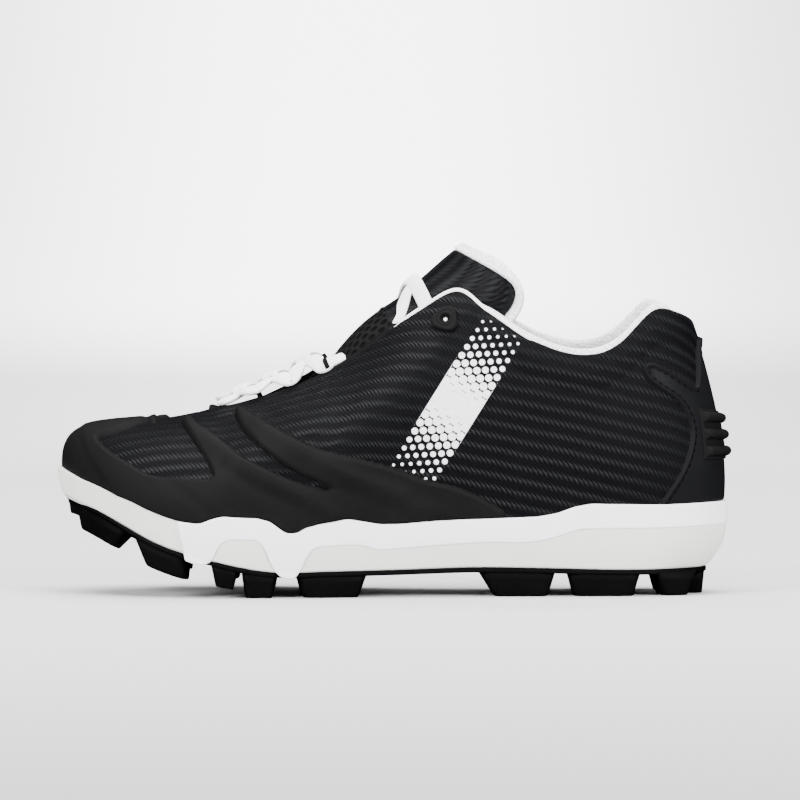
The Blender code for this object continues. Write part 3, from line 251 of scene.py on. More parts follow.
# How far the laces' upper ends run on under the eyestay, in halves of a loop's width
LACE_TAIL = 4.0
TOE_LIP = 1.1 * MM
CAP_STEPS = (0.04, 0.12, 0.3, 0.55, 0.8, 1.0)
ROW_SLOPE = math.radians(12)
# Grooves beside the throat's edge: depth, distance from the edge, width
THROAT_GROOVES = ((0.30 * MM, 2.2 * MM, 0.45 * MM), (0.22 * MM, 7.0 * MM, 0.6 * MM))

# Creases and ridges in the side view: depth and half width in mm, and points of (u, share of the instep
# height)
UPPER_CREASES = [
    (0.5, 5.0, [(0.420, 0.780), (0.455, 0.640), (0.470, 0.500)]),
    (0.6, 4.0, [(0.700, 0.640), (0.668, 0.560), (0.630, 0.500)]),
    (0.5, 3.5, [(0.770, 0.590), (0.748, 0.520)]),
    (0.5, 4.5, [(0.300, 0.560), (0.330, 0.440), (0.340, 0.330)]),
    (0.4, 4.0, [(0.215, 0.600), (0.235, 0.470), (0.240, 0.340)]),
]
GUARD_RIDGES = [
    (1.1, 3.6, [(0.798, 0.562), (0.740, 0.462), (0.682, 0.380), (0.624, 0.318), (0.589, 0.272)]),
    (1.1, 3.4, [(0.727, 0.596), (0.643, 0.482), (0.565, 0.398), (0.490, 0.338)]),
    (0.3, 3.0, [(0.905, 0.590), (0.885, 0.600), (0.862, 0.590)]),
    (0.7, 4.0, [(0.545, 0.330), (0.480, 0.300), (0.420, 0.270)]),
]
GUARD_TROUGHS = [
    (0.5, 2.2, [(0.832, 0.385), (0.803, 0.337), (0.766, 0.276)]),
    (0.6, 2.4, [(0.785, 0.480), (0.758, 0.430), (0.701, 0.360), (0.637, 0.300)]),
    (0.5, 2.4, [(0.700, 0.470), (0.640, 0.400), (0.560, 0.340), (0.500, 0.290)]),
]
CAP_FACET = [(0.966, 0.570), (0.959, 0.511), (0.948, 0.463), (0.931, 0.411), (0.905, 0.330)]

# The eyelet reinforcement's section: shares of its radius and of its thickness
EYELET_PROFILE = (
    (0.0, 0.05), (1.0, 0.05), (1.02, 0.30), (1.0, 0.62), (0.94, 0.88), (0.86, 1.0), (0.76, 1.02),
    (0.70, 0.92), (0.66, 0.86), (0.62, 0.95), (0.56, 1.12), (0.50, 1.16), (0.44, 1.10), (0.39, 0.92),
    (0.365, 0.6), (0.36, 0.2), (0.0, 0.2),
)
# The rings of a stud: how far down from its root (0) to its foot (1), and its size there
EDGE_STUD_SECTIONS = (
    (0.0, 1.0), (0.35, 1.0), (0.7, 1.0), (0.90, 1.0), (0.96, 0.985), (0.99, 0.955), (1.0, 0.90), (1.0, 0.6),
    (1.0, 0.0),
)
INNER_STUD_SECTIONS = (
    (0.0, 1.0), (0.5, 0.9), (0.9, 0.81), (0.97, 0.79), (1.0, 0.73), (1.0, 0.4), (1.0, 0.0),
)

# The printed panel, the pressed twill and the tongue's mesh
DOTS_X, DOTS_Z, DOTS_LEAN = 24.0 * MM, 76.0 * MM, math.radians(58)
DOTS_LENGTH, DOTS_WIDTH = 70.0 * MM, 19.0 * MM
DOT_PITCH, DOT_RADIUS, DOT_EDGE = 3.9 * MM, 2.15 * MM, 0.12 * MM
DOT_COLOUR = (0.80, 0.80, 0.83)
TWILL_ROW, TWILL_CELL, TWILL_DEPTH = 5.0 * MM, 2.1 * MM, 0.42 * MM
MESH_COLUMN, MESH_HOLE = 2.6 * MM, 4.6 * MM
# The twill's colours: painted shade for the gaps between the cells, painted sheen for the raised cells
TWILL_GAP_PAINTED_SHADE, TWILL_CELL_PAINTED_SHEEN = (0.0018, 0.0018, 0.0026), (0.0064, 0.0067, 0.0070)

# Finishes: name, two colours, roughness, depth (mm) and scale of the grain, specular
MOULDED = (
    ("charcoal moulded rubber", (0.0046, 0.0043, 0.0046), (0.0066, 0.0062, 0.0065), 0.6, 0.05, 900.0, 0.03),
    ("black outsole rubber", (0.0012, 0.0012, 0.0013), (0.0022, 0.0022, 0.0023), 0.6, 0.06, 900.0, 0.03),
    ("cream foam", (0.64, 0.655, 0.605), (0.68, 0.69, 0.65), 0.5, 0.03, 1300.0, 0.3),
    ("white frame plastic", (0.86, 0.84, 0.89), (0.89, 0.87, 0.92), 0.42, 0.015, 1500.0, 0.4),
    ("black counter synthetic", (0.0042, 0.0043, 0.0052), (0.0062, 0.0063, 0.007), 0.5, 0.06, 1200.0, 0.03),
    ("black stitch thread", (0.001, 0.001, 0.0011), (0.003, 0.003, 0.0032), 0.5, 0.03, 2500.0, 0.05),
)
# Name, two colours (the second is painted shade in the gaps between the threads), pitch (mm) and number of
# the threads, their depth (mm), and for the webbing specular, sheen and roughness
WOVEN = (
    ("white woven lace", (0.86, 0.86, 0.86), (0.55, 0.55, 0.57), 1.5, 10.0, 0.18),
    ("white piping", (0.88, 0.88, 0.88), (0.66, 0.66, 0.68), 1.0, 6.0, 0.08),
    ("black webbing", (0.0034, 0.0034, 0.0036), (0.001, 0.001, 0.0011), 1.0, 8.0, 0.12, 0.05, 0.0, 0.6),
)
# Name, two colours (the second is painted shade between the tufts), scale of the tufts, and whether the
# throat's facing is dark
TERRY = (
    ("white terry lining", (0.86, 0.86, 0.87), (0.60, 0.60, 0.62), 1100.0, True),
    ("white fleece edge", (0.88, 0.88, 0.89), (0.66, 0.66, 0.68), 900.0),
    ("grey knit sock liner", (0.70, 0.70, 0.71), (0.45, 0.45, 0.47), 1600.0),
)

# The stage, the lights (name, place, target, size, watts) and the camera
SWEEP_START, SWEEP_RADIUS = 2.3, 1.4
# How strongly the backdrop glows: painted light from a part that is no lamp
BACKDROP_GLOW = 5.0
SOFT_BOXES = (
    ("top_box", (0.0, -0.15, 1.6), (0.0, 0.0, 0.05), (1.5, 1.1), 75.0),
    ("left_box", (-1.4, -1.5, 1.0), (0.0, 0.0, 0.06), (0.9, 0.9), 95.0),
    ("right_box", (1.4, -1.4, 0.9), (0.0, 0.0, 0.06), (0.8, 0.8), 80.0),
    ("back_box", (0.0, 1.3, 1.8), (0.0, 0.6, 0.3), (2.2, 0.8), 60.0),
)
CAMERA_AWAY, CAMERA_TILT = 1.8, math.radians(1.0)
CAMERA_AIM = (0.002, 0.0, 0.077)
CAMERA_LENS, CAMERA_SENSOR = 202.0, 36.0


def rows_of(table):
    """The table's columns as arrays."""
    return np.array(table, float).T


def spline(at, knots, values):
    """A Catmull-Rom curve through values, or through the rows of an array, its ends free."""
    at, k, v = (np.asarray(a, float) for a in (at, knots, values))
    slope = np.gradient(v, k, axis=0)
    i = np.clip(np.searchsorted(k, at, side="right") - 1, 0, len(k) - 2)
    each = (..., *[None] * (v.ndim - 1))
    step = (k[i + 1] - k[i])[each]
    t = (at - k[i])[each] / step
    return (
        (2 * t**3 - 3 * t**2 + 1) * v[i]
        + (t**3 - 2 * t**2 + t) * step * slope[i]
        + (3 * t**2 - 2 * t**3) * v[i + 1]
        + (t**3 - t**2) * step * slope[i + 1]
    )


def smooth(at, knots, values, odd=False):
    """The same curve, carried past both ends by reflection, so that it crosses the middle smoothly."""
    sign = -1.0 if odd else 1.0
    before = knots[0] - (knots[1:3] - knots[0])[::-1]
    after = knots[-1] + (knots[-1] - knots[-3:-1])[::-1]
    more = np.concatenate([sign * values[1:3][::-1], values, sign * values[-3:-1][::-1]])
    return spline(at, np.concatenate([before, knots, after]), more)


def curve(points, per_span, closed=False):
    """A Catmull-Rom curve through points, open or closed, as points in a row."""
    p = np.asarray(points, float)
    p = np.vstack([p[-1:], p, p[:2]] if closed else [2 * p[0] - p[1], p, 2 * p[-1] - p[-2]])
    t = np.linspace(0, 1, per_span, endpoint=False)[:, None]
    spans = [
        0.5 * (2 * b + (c - a) * t + (2 * a - 5 * b + 4 * c - d) * t**2 + (3 * b - a - 3 * c + d) * t**3)
        for a, b, c, d in zip(p, p[1:], p[2:], p[3:])
    ]
    return np.vstack(spans if closed else [*spans, p[-2:-1]])


def lengths_along(path):
    """The length of a path from its start to each of its points."""
    return np.concatenate([[0], np.cumsum(np.linalg.norm(np.diff(path, axis=0), axis=1))])


def smooth_step(low, high, x):
    """0 below low and 1 above high, with an even S-shaped rise between them."""
    t = np.clip((x - low) / (high - low), 0, 1)
    return t * t * (3 - 2 * t)


def bell(x, width):
    return np.exp(-((x / width) ** 2))


def rounded(share):
    """A quarter circle: 0 at 0, rising steeply, and level from 1 on."""
    return np.sqrt(1 - (1 - np.clip(share, 0, 1)) ** 2)


def unit(vectors):
    return vectors / np.maximum(np.linalg.norm(vectors, axis=-1, keepdims=True), 1e-12)


def table_at(table, u):
    """A table of (u, share) read in straight lines between its rows, its corners rounded by taking
    the mean over a short stretch."""
    knots, values = rows_of(sorted(table))
    return sum(np.interp(u + near, knots, values) for near in CORNER_ROUNDING) / len(CORNER_ROUNDING)


def make_edge():
    """The sole's edge from above as dense arrays: p (0 to 2 around the loop), points and normals."""
    shares = curve([(0.0, 0.0), *LATERAL_EDGE, TOE_TIP, *reversed(MEDIAL_EDGE)], 24, closed=True)
    points = np.stack([HEEL_X - shares[:, 0] * LENGTH, shares[:, 1] * BALL_WIDTH], axis=1)
    points = np.vstack([points, points[:1]])
    toe = int(np.argmin(points[:, 0]))
    along = lengths_along(points)
    back = (along - along[toe]) / (along[-1] - along[toe])
    p = np.where(along <= along[toe], along / along[toe], 1 + back)
    tangent = np.gradient(points, along, axis=0)
    tangent[0] = tangent[-1] = tangent[0] + tangent[-1]
    tangent = unit(tangent)
    return p, points, np.stack([-tangent[:, 1], tangent[:, 0]], axis=1)


EDGE_P, EDGE_POINTS, EDGE_NORMALS = make_edge()


def loop_value(p, values):
    p = np.mod(p, 2.0)
    return np.stack([np.interp(p, EDGE_P, values[:, i]) for i in range(values.shape[1])], axis=-1)


def edge_normal(p):
    return unit(loop_value(p, EDGE_NORMALS))


def edge_point(p, inset=0.0):
    """A point on the sole's edge from above, moved in from it."""
    return loop_value(p, EDGE_POINTS) - edge_normal(p) * np.asarray(inset, float)[..., None]


def u_of(points):
    return (HEEL_X - points[..., 0]) / LENGTH


def edge_u(p):
    return u_of(loop_value(p, EDGE_POINTS))


def share_round(p):
    """The place f on the sole's edge, the same on both sides."""
    p = np.mod(p, 2.0)
    return np.where(p <= 1, p, 2 - p)


def places(count, first=0.0, last=2.0):
    """Places round the sole's edge, closer together at the heel and the toe, where it turns."""
    even = np.linspace(first, last, count)
    return even - STATION_CROWDING * np.sin(2 * math.pi * even) / (2 * math.pi)


def place_of(u, side):
    """The place p on the loop at the share u of the length, on the lateral (-1) or medial (1) side."""
    toe = int(np.argmin(np.abs(EDGE_P - 1)))
    us = u_of(EDGE_POINTS)
    if side < 0:
        return np.interp(u, us[: toe + 1], EDGE_P[: toe + 1])
    return np.interp(u, us[toe:][::-1], EDGE_P[toe:][::-1])


def under_z(u):
    """The midsole's underside."""
    return BASE_Z + TOE_SPRING * smooth(np.clip(u, 0, 1), *rows_of(SPRING))


def wall_z(table, u):
    """A height on the sole's wall: a table's share of the side height above the underside."""
    return under_z(u) + SIDE_HEIGHT * table_at(table, u)


def footbed_z(u):
    return wall_z(FOOTBED, u)


def top_z(u):
    return wall_z(TOP_EDGE, u)


def parting_z(u):
    return wall_z(PARTING, u)


def undercut(p):
    """How far the sole's wall comes in at its foot: most at the back of the heel."""
    heel = np.clip(1 - edge_u(p) / UNDERCUT_REACH, 0, 1)
    return SIDE_UNDERCUT + (HEEL_UNDERCUT - SIDE_UNDERCUT) * heel**1.5


def wall_inset(p, z):
    """The sole's side profile: the inset at height z, nothing above two thirds of the wall."""
    share = (z - under_z(edge_u(p))) / (SIDE_HEIGHT * WALL_SLOPE_SHARE)
    return undercut(p) * np.clip(1 - share, 0, 1.3) ** 2


def section_columns(f):
    """Every column of the section table at f."""
    table = dict(zip(COLUMNS, rows_of(SECTIONS)))
    height = table["z_heel"] * HEEL_HEIGHT + table["z_instep"] * INSTEP_HEIGHT
    found = {name: smooth(f, table["f"], table[name], odd=name == "y") for name in COLUMNS[1:]}
    found["z"] = smooth(f, table["f"], height)
    return found


def upper_surface(p, t):
    """The upper's outer surface. t runs from the feather edge (-1) up the cupped wall to the sole's
    top edge (0), and on over the foot to the opening (1)."""
    p, t = np.broadcast_arrays(np.mod(np.asarray(p, float), 2.0), np.asarray(t, float))
    f = share_round(p)
    side = np.where(p <= 1, -1.0, 1.0)
    c = section_columns(f)
    out = np.concatenate([edge_normal(p), np.zeros((*f.shape, 1))], axis=-1)
    up = np.array([0.0, 0.0, 1.0])
    foot = edge_point(p, FEATHER_INSET)
    u = u_of(foot)
    start = np.concatenate([foot, top_z(u)[..., None]], axis=-1)
    bottom = np.concatenate([foot, (footbed_z(u) + GAP)[..., None]], axis=-1)
    rise = MEDIAL_RISE * np.clip(side, 0, 1) * np.clip(np.sin(math.pi * np.clip(f / 0.55, 0, 1)), 0, 1)
    end = np.stack([HEEL_X - c["x"] * LENGTH, side * c["y"] * BALL_WIDTH / 2, c["z"] + rise], axis=-1)
    lean, roof = np.radians(c["lean"])[..., None], np.radians(c["roof"])[..., None]
    one = start + (c["rise"] * INSTEP_HEIGHT)[..., None] * (out * np.sin(lean) + up * np.cos(lean))
    two = end + (c["shoulder"] * INSTEP_HEIGHT)[..., None] * (out * np.cos(roof) - up * np.sin(roof))
    s = np.clip(t, 0, 1)[..., None]
    over = (1 - s) ** 3 * start + 3 * (1 - s) ** 2 * s * one + 3 * (1 - s) * s**2 * two + s**3 * end
    cup = start + np.clip(-t, 0, 1)[..., None] * (bottom - start)
    return np.where((t < 0)[..., None], cup, over)


def upper_normal(p, t):
    """The outward normal of the upper's surface."""
    step = 0.004
    p, t = np.broadcast_arrays(np.asarray(p, float), np.asarray(t, float))
    high, low = np.where(t < 0, 0.0, 1.0), np.where(t < 0, -1.0, 0.0)
    across = upper_surface(p + step, t) - upper_surface(p - step, t)
    along = upper_surface(p, np.minimum(t + step, high)) - upper_surface(p, np.maximum(t - step, low))
    return unit(np.cross(along, across))


def off_upper(p, t, distance):
    """A point at a distance outside the upper's outer surface."""
    return upper_surface(p, t) + upper_normal(p, t) * np.asarray(distance, float)[..., None]


def upper_wall(p, t):
    """The upper's thickness, with the collar's padding towards its edge."""
    round_collar = np.clip((0.44 - share_round(p)) / 0.10, 0, 1)
    return UPPER_WALL + COLLAR_PADDING * round_collar * smooth_step(0.45, 0.90, t)


def opening_up(p):
    """The direction in which the upper's surface runs out of the opening."""
    return unit(upper_surface(p, 1.0) - upper_surface(p, 0.985))


def tongue_column(v, number):
    return spline(v, np.linspace(0, 1, len(TONGUE)), rows_of(TONGUE)[number])


def tongue_surface(v, w):
    """The tongue's outer face: v from the vamp to the top, w across from the lateral edge (-1)."""
    v, w = np.broadcast_arrays(np.asarray(v, float), np.asarray(w, float))
    x, z, half, behind, below = (tongue_column(v, number) for number in range(5))
    angle = w * TONGUE_BEND
    sag = (1 - np.cos(angle)) / (1 - math.cos(TONGUE_BEND))
    across = np.sin(angle) / math.sin(TONGUE_BEND)
    x = HEEL_X - (x - behind * sag) * LENGTH
    return np.stack([x, half * BALL_WIDTH * across, (z - below * sag) * INSTEP_HEIGHT], axis=-1)


def tongue_place(u):
    """How far along the tongue its middle is at the share u of the length."""
    v = np.linspace(0, 1, 200)
    return float(np.interp(-u, -tongue_column(v, 0), v))


def tongue_length(v):
    """The tongue's length along its middle for each unit of v, at v."""
    step = 0.01
    return float(np.linalg.norm(tongue_surface(v + step, 0.0) - tongue_surface(v - step, 0.0))) / (2 * step)


def throat_half(u):
    """Half the width of the throat's opening at the share u of the length."""
    c = section_columns(np.linspace(0.505, 1.0, 200))
    return float(np.interp(u, c["x"], c["y"] * BALL_WIDTH / 2))


def tongue_across(v, y):
    """The place w across the tongue, at v, that is y from its middle."""
    half = float(tongue_column(v, 2)) * BALL_WIDTH
    return math.asin(min(max(y / half, -1), 1) * math.sin(TONGUE_BEND)) / TONGUE_BEND


def tongue_normal(v, w):
    step = 0.01
    along = tongue_surface(np.minimum(v + step, 1), w) - tongue_surface(np.maximum(v - step, 0), w)
    across = tongue_surface(v, np.minimum(w + step, 1)) - tongue_surface(v, np.maximum(w - step, -1))
    return unit(np.cross(along, across))


def off_tongue(v, w, distance):
    """A point at a distance outside the tongue's outer face."""
    return tongue_surface(v, w) + tongue_normal(v, w) * np.asarray(distance, float)[..., None]


def anchor(u, side):
    """A place on the tongue beside the throat's edge, far enough in for a loop to hold the lace."""
    v = tongue_place(u)
    return v, side * tongue_across(v, throat_half(u) - LOOP_ROOM - LACE_WIDTH / 2)


def lace_route(side):
    """Half of the lacing as rows of v, w and lift: from the middle of the front bar to the throat's
    edge on one side, across to the first loop on the other, and so on up the throat."""
    route = [(tongue_place(LACE_ROWS[0]) - 0.01, 0.0, LOOP_LIFT)]
    for u, after in zip(LACE_ROWS, (*LACE_ROWS[1:], None)):
        v, w = anchor(u, side)
        straight = 0.5 * LOOP_WIDTH / tongue_length(v)
        ends = (0.0,) if u == LACE_ROWS[0] else (-straight, straight)
        route += [(v + end, w, LOOP_LIFT) for end in ends]
        if after is None:
            route.append((v + LACE_TAIL * straight, w * 0.9, -LACE_THICKNESS))
        else:
            route.append(((v + tongue_place(after)) / 2, 0.0, LACE_LIFT))
        side = -side
    return route


def grid_faces(rows, columns):
    """Four-sided faces between the neighbours of a grid of points."""
    r, c = np.meshgrid(np.arange(rows - 1), np.arange(columns - 1), indexing="ij")
    a = (r * columns + c).ravel()
    return np.stack([a, a + 1, a + columns + 1, a + columns], axis=1)


def new_piece(name, points, faces, finish, nodes=(), cloth=None):
    """A visible piece from points and four-sided faces. Points that meet are merged, which closes
    seams and poles, and faces with no area are dropped. cloth is the pattern map of the points."""
    mesh = bpy.data.meshes.new(name)
    mesh.vertices.add(len(points))
    mesh.vertices.foreach_set("co", points.astype(np.float32).ravel())
    mesh.loops.add(faces.size)
    mesh.loops.foreach_set("vertex_index", faces.astype(np.int32).ravel())
    mesh.polygons.add(len(faces))
    mesh.polygons.foreach_set("loop_start", np.arange(0, faces.size, 4, dtype=np.int32))
    mesh.update(calc_edges=True)
    if cloth is not None:
        layer = mesh.uv_layers.new(name="cloth")
        layer.data.foreach_set("uv", cloth[faces.ravel()].astype(np.float32).ravel())
    made = bpy.data.objects.new(name, mesh)
    bpy.context.scene.collection.objects.link(made)
    shape = bmesh.new()
    shape.from_mesh(mesh)
    bmesh.ops.remove_doubles(shape, verts=shape.verts, dist=WELD)
    bmesh.ops.dissolve_degenerate(shape, edges=shape.edges, dist=WELD / 4)
    loose = [vertex for vertex in shape.verts if not vertex.link_faces]
    bmesh.ops.delete(shape, geom=loose, context="VERTS")
    shape.to_mesh(mesh)
    shape.free()
    mesh.update()
    mesh.shade_smooth()
    mesh.materials.append(finish)
    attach(made, "root")
    if nodes:
        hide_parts(*nodes)
    return made


def add_piece(name, blocks, finish, nodes=(), pattern=None):
    """A piece from closed grids of points: arrays (rows, columns, 3), or stacks of such grids. Faces
    point out of each grid. pattern holds a (rows, columns, 2) map for each block."""
    all_points, all_faces, all_maps = [], [], []
    start = 0
    for index, block in enumerate(blocks):
        stack = block.reshape(-1, *block.shape[-3:])
        count, rows, columns = stack.shape[:3]
        faces = grid_faces(rows, columns)
        a, b, c, d = stack[0, :-1, :-1], stack[0, :-1, 1:], stack[0, 1:, 1:], stack[0, 1:, :-1]
        # Six times the volume inside, negative where the faces point in
        if np.sum(a * (np.cross(b, c) + np.cross(c, d))) < 0:
            faces = faces[:, ::-1]
        offset = np.arange(count)[:, None, None] * rows * columns
        all_faces.append((faces[None] + offset).reshape(-1, 4) + start)
        all_points.append(stack.reshape(-1, 3))
        if pattern is not None:
            all_maps.append(np.broadcast_to(pattern[index], (count, rows, columns, 2)).reshape(-1, 2))
        start += count * rows * columns
    cloth = np.concatenate(all_maps) if all_maps else None
    points, faces = np.concatenate(all_points), np.concatenate(all_faces)
    return new_piece(name, points, faces, finish, nodes, cloth)


def envelope(outer, inner):
    """A closed grid round two layers of the same rows and columns, joined at all four borders."""
    ring = np.concatenate([outer, inner[::-1], outer[:1]])
    left = (outer[:, :1] + inner[:, :1]) / 2
    right = (outer[:, -1:] + inner[:, -1:]) / 2
    left, right = (np.concatenate([one, one[::-1], one[:1]]) for one in (left, right))
    return np.concatenate([left, ring, right], axis=1)


def superellipse(count, power):
    """A closed ring of unit half sizes: power 2 is an ellipse, higher powers near a rounded box."""
    angle = np.linspace(0, 2 * math.pi, count)
    return [np.sign(part) * np.abs(part) ** (2 / power) for part in (np.cos(angle), np.sin(angle))]


def sweep(path, normals, width, thickness, count=17, power=2.6):
    """A cord or strip along a path: a rounded section, its wide side square to the normals, with
    both ends drawn in to a point. Gives its points and its pattern map, in metres."""
    tangent = unit(np.gradient(path, axis=0))
    side = unit(np.cross(tangent, normals))
    up = np.cross(side, tangent)
    across, high = superellipse(count, power)
    width, thickness = (np.broadcast_to(size, len(path))[:, None, None] for size in (width, thickness))
    body = path[:, None] + side[:, None] * across[:, None] * width / 2
    body = body + up[:, None] * high[:, None] * thickness / 2
    first, last = (np.broadcast_to(end, body[:1].shape) for end in (path[0], path[-1]))
    length = lengths_along(path)
    rows = np.concatenate([[0], length, length[-1:]])
    around = np.linspace(0, 1, count)
    flat = np.stack(np.broadcast_arrays(rows[:, None], around[None, :]), axis=-1)
    return np.concatenate([first, body, last]), flat


def add_swept(name, swept, finish, nodes=()):
    """A piece from cords or strips that sweep made."""
    blocks, maps = zip(*swept)
    return add_piece(name, blocks, finish, nodes, maps)


def resampled(path, step):
    """The same path with points at even distances."""
    along = lengths_along(path)
    at = np.linspace(0, along[-1], max(int(along[-1] / step), 2))
    return np.stack([np.interp(at, along, path[:, i]) for i in range(path.shape[1])], axis=1)


def capsules(centres, directions, normals, length, radius):
    """Short rounded stitches, one at each centre: an ellipsoid turned to lie along its direction."""
    rise = np.linspace(0, math.pi, 7)[:, None]
    turn = np.linspace(0, 2 * math.pi, 9)[None, :]
    along = (np.cos(rise) * length / 2 * np.ones_like(turn))[..., None]
    across = (np.sin(rise) * np.cos(turn) * radius)[..., None]
    high = (np.sin(rise) * np.sin(turn) * radius)[..., None]
    axes = (directions, np.cross(directions, normals), normals)
    forward, side, up = (unit(axis)[:, None, None] for axis in axes)
    return centres[:, None, None] + forward * along + side * across + up * high


def nearest_on(x, z, a, b):
    """The distance of points of the side view to the stretch between two points, and the stretch."""
    ex, ez = b[0] - a[0], b[1] - a[1]
    share = np.clip(((x - a[0]) * ex + (z - a[1]) * ez) / max(ex * ex + ez * ez, 1e-12), 0, 1)
    return np.hypot(x - a[0] - share * ex, z - a[1] - share * ez), ex, ez


def side_distance(x, z, outline):
    """How far points of the side view lie inside a closed outline, in metres: negative outside. A
    point is inside where a level line from it crosses the outline an odd number of times."""
    nearest, inside = np.full(x.shape, 1.0), np.zeros(x.shape, bool)
    for a, b in zip(outline, np.roll(outline, -1, axis=0)):
        away, ex, ez = nearest_on(x, z, a, b)
        nearest = np.minimum(nearest, away)
        inside ^= ((a[1] > z) != (b[1] > z)) & (x < ex * (z - a[1]) / (ez or 1e-12) + a[0])
    return np.where(inside, nearest, -nearest)


def line_distance(x, z, line):
    """How far points of the side view lie from an open line, and whether they lie above it."""
    nearest, above = np.full(x.shape, 1.0), np.zeros(x.shape)
    for a, b in zip(line, line[1:]):
        away, ex, ez = nearest_on(x, z, a, b)
        side = np.sign(ex * (z - a[1]) - ez * (x - a[0])) * np.sign(ex)
        above = np.where(away < nearest, side, above)
        nearest = np.minimum(nearest, away)
    return nearest, above


def in_side_view(table, height, closed=False, u_shift=None):
    """A table of (u, share of a height) as a smooth line or closed outline in X and Z."""
    u, share = rows_of(table)
    if u_shift is not None:
        u = u + u_shift(u)
    return curve(np.stack([HEEL_X - u * LENGTH, share * height], axis=1), 4, closed)


def on_the_side(xz, side):
    """The places (p, t) on the upper that are seen at these points of the side view.

    The nearest place of a coarse grid is corrected by steps along the surface's own slopes.
    """
    def seen(p, t):
        return upper_surface(p, t)[..., [0, 2]]

    def turned(a, b):
        return a[:, 0] * b[:, 1] - a[:, 1] * b[:, 0]

    p = np.linspace(0.02, 0.98, 120)
    grid_p, grid_t = np.meshgrid(p if side < 0 else 2 - p, np.linspace(0.0, 1.0, 60), indexing="ij")
    grid = seen(grid_p, grid_t).reshape(-1, 2)
    nearest = np.argmin(np.linalg.norm(xz[:, None] - grid[None], axis=2), axis=1)
    p, t = grid_p.ravel()[nearest], grid_t.ravel()[nearest]
    step = 0.003
    for _ in range(4):
        here = seen(p, t)
        by_p, by_t = (seen(p + step, t) - here) / step, (here - seen(p, t - step)) / step
        off = xz - here
        size = turned(by_p, by_t)
        size = np.where(np.abs(size) < 1e-6, 1e-6, size)
        p = p + np.clip(turned(off, by_t) / size, -0.02, 0.02)
        t = np.clip(t + np.clip(turned(by_p, off) / size, -0.03, 0.03), 0.0, 0.999)
    return p, t


class Field:
    """A shader value that differs from place to place. Arithmetic on it adds the nodes that work it
    out to its own node tree."""

    def __init__(self, socket):
        self.socket = socket

    def __add__(self, other):
        return maths("ADD", self, other)

    def __sub__(self, other):
        return maths("SUBTRACT", self, other)

    def __rsub__(self, other):
        return maths("SUBTRACT", other, self)

    def __mul__(self, other):
        return maths("MULTIPLY", self, other)

    def __truediv__(self, other):
        return maths("DIVIDE", self, other)

    def __pow__(self, other):
        return maths("POWER", self, other)

    def __abs__(self):
        return maths("ABSOLUTE", self)


def set_input(socket, value):
    """Feeds an input from a field, or gives it a number or a colour."""
    if isinstance(value, Field):
        socket.id_data.links.new(value.socket, socket)
    else:
        socket.default_value = (*value, 1.0) if isinstance(value, tuple) else value


def add_node(owner, kind, inputs, **settings):
    """A node in the tree of a field or a shader, with its settings and inputs."""
    made = getattr(owner, "socket", owner).id_data.nodes.new(kind)
    for name, value in settings.items():
        setattr(made, name, value)
    for name, value in inputs.items():
        set_input(made.inputs[name], value)
    return made


def maths(operation, *values):
    owner = next(value for value in values if isinstance(value, Field))
    return Field(add_node(owner, "ShaderNodeMath", dict(enumerate(values)), operation=operation).outputs[0])


def fract(value):
    return maths("FRACT", value)


def off_round(value):
    return value - maths("ROUND", value)


def arch(value):
    """Half a sine wave over 0 to 1."""
    return maths("SINE", value * math.pi)


def ramp(value, low, high, to_low=0.0, to_high=1.0, kind="SMOOTHSTEP"):
    """A value carried from one range to another, smoothly, and held at both ends."""
    inputs = {"Value": value, "From Min": low, "From Max": high, "To Min": to_low, "To Max": to_high}
    return Field(add_node(value, "ShaderNodeMapRange", inputs, interpolation_type=kind).outputs["Result"])


def noise(vector, scale, detail=3.0, roughness=0.55):
    inputs = {"Vector": vector, "Scale": scale, "Detail": detail, "Roughness": roughness}
    return Field(add_node(vector, "ShaderNodeTexNoise", inputs).outputs["Fac"])


def parts_of(vector):
    return [Field(part) for part in add_node(vector, "ShaderNodeSeparateXYZ", {"Vector": vector}).outputs]


def mixed(share, one, two):
    """A colour between two colours, each a field or a colour."""
    return Field(add_node(share, "ShaderNodeMix", {0: share, 6: one, 7: two}, data_type="RGBA").outputs[2])


def bumped(height, distance, strength=1.0):
    inputs = {"Height": height, "Distance": distance, "Strength": strength}
    return Field(add_node(height, "ShaderNodeBump", inputs).outputs["Normal"])


def new_group(name, work, *labels):
    """A node group round a function of a vector and numbers, which gives its results by name."""
    tree = bpy.data.node_groups.new(name, "ShaderNodeTree")
    tree.interface.new_socket("Vector", in_out="INPUT", socket_type="NodeSocketVector")
    for label in labels:
        tree.interface.new_socket(label, in_out="INPUT", socket_type="NodeSocketFloat")
    given = tree.nodes.new("NodeGroupInput").outputs
    results = work(*[Field(given[label]) for label in ("Vector", *labels)])
    for label in results:
        tree.interface.new_socket(label, in_out="OUTPUT", socket_type="NodeSocketFloat")
    end = tree.nodes.new("NodeGroupOutput")
    for label, value in results.items():
        set_input(end.inputs[label], value)
    return tree


def use_group(group, vector, **inputs):
    made = add_node(vector, "ShaderNodeGroup", {"Vector": vector, **inputs}, node_tree=group)
    return {output.name: Field(output) for output in made.outputs}


def pressed_twill(vector, row, cell):
    """Rows of slanted raised cells, like a coarse twill pressed into a sheet: a tall row with a saw
    edge, then a low row of finer cells that slant the other way."""
    x, y, _ = parts_of(vector)
    saw = fract((y * 0.6 + x) / cell)
    fine = fract((x - y * 1.4) / (cell * 0.5))
    place = fract(y / row + saw * 0.30)
    tall = arch(ramp(place, 0.0, 0.62, kind="LINEAR")) ** 0.7
    low = arch(ramp(place, 0.66, 1.0, kind="LINEAR"))
    raised = tall * (arch(saw) ** 0.5 * 0.68 + 0.32)
    return {"Height": raised + low * (arch(fine) * 0.16 + 0.04), "Raised": tall}


def moulded_grain(vector, scale):
    """Fine moulded grain with a slower mottle under it, both from noise."""
    return {"Height": noise(vector, scale, 4.0, 0.6), "Mottle": noise(vector, scale * 0.05)}


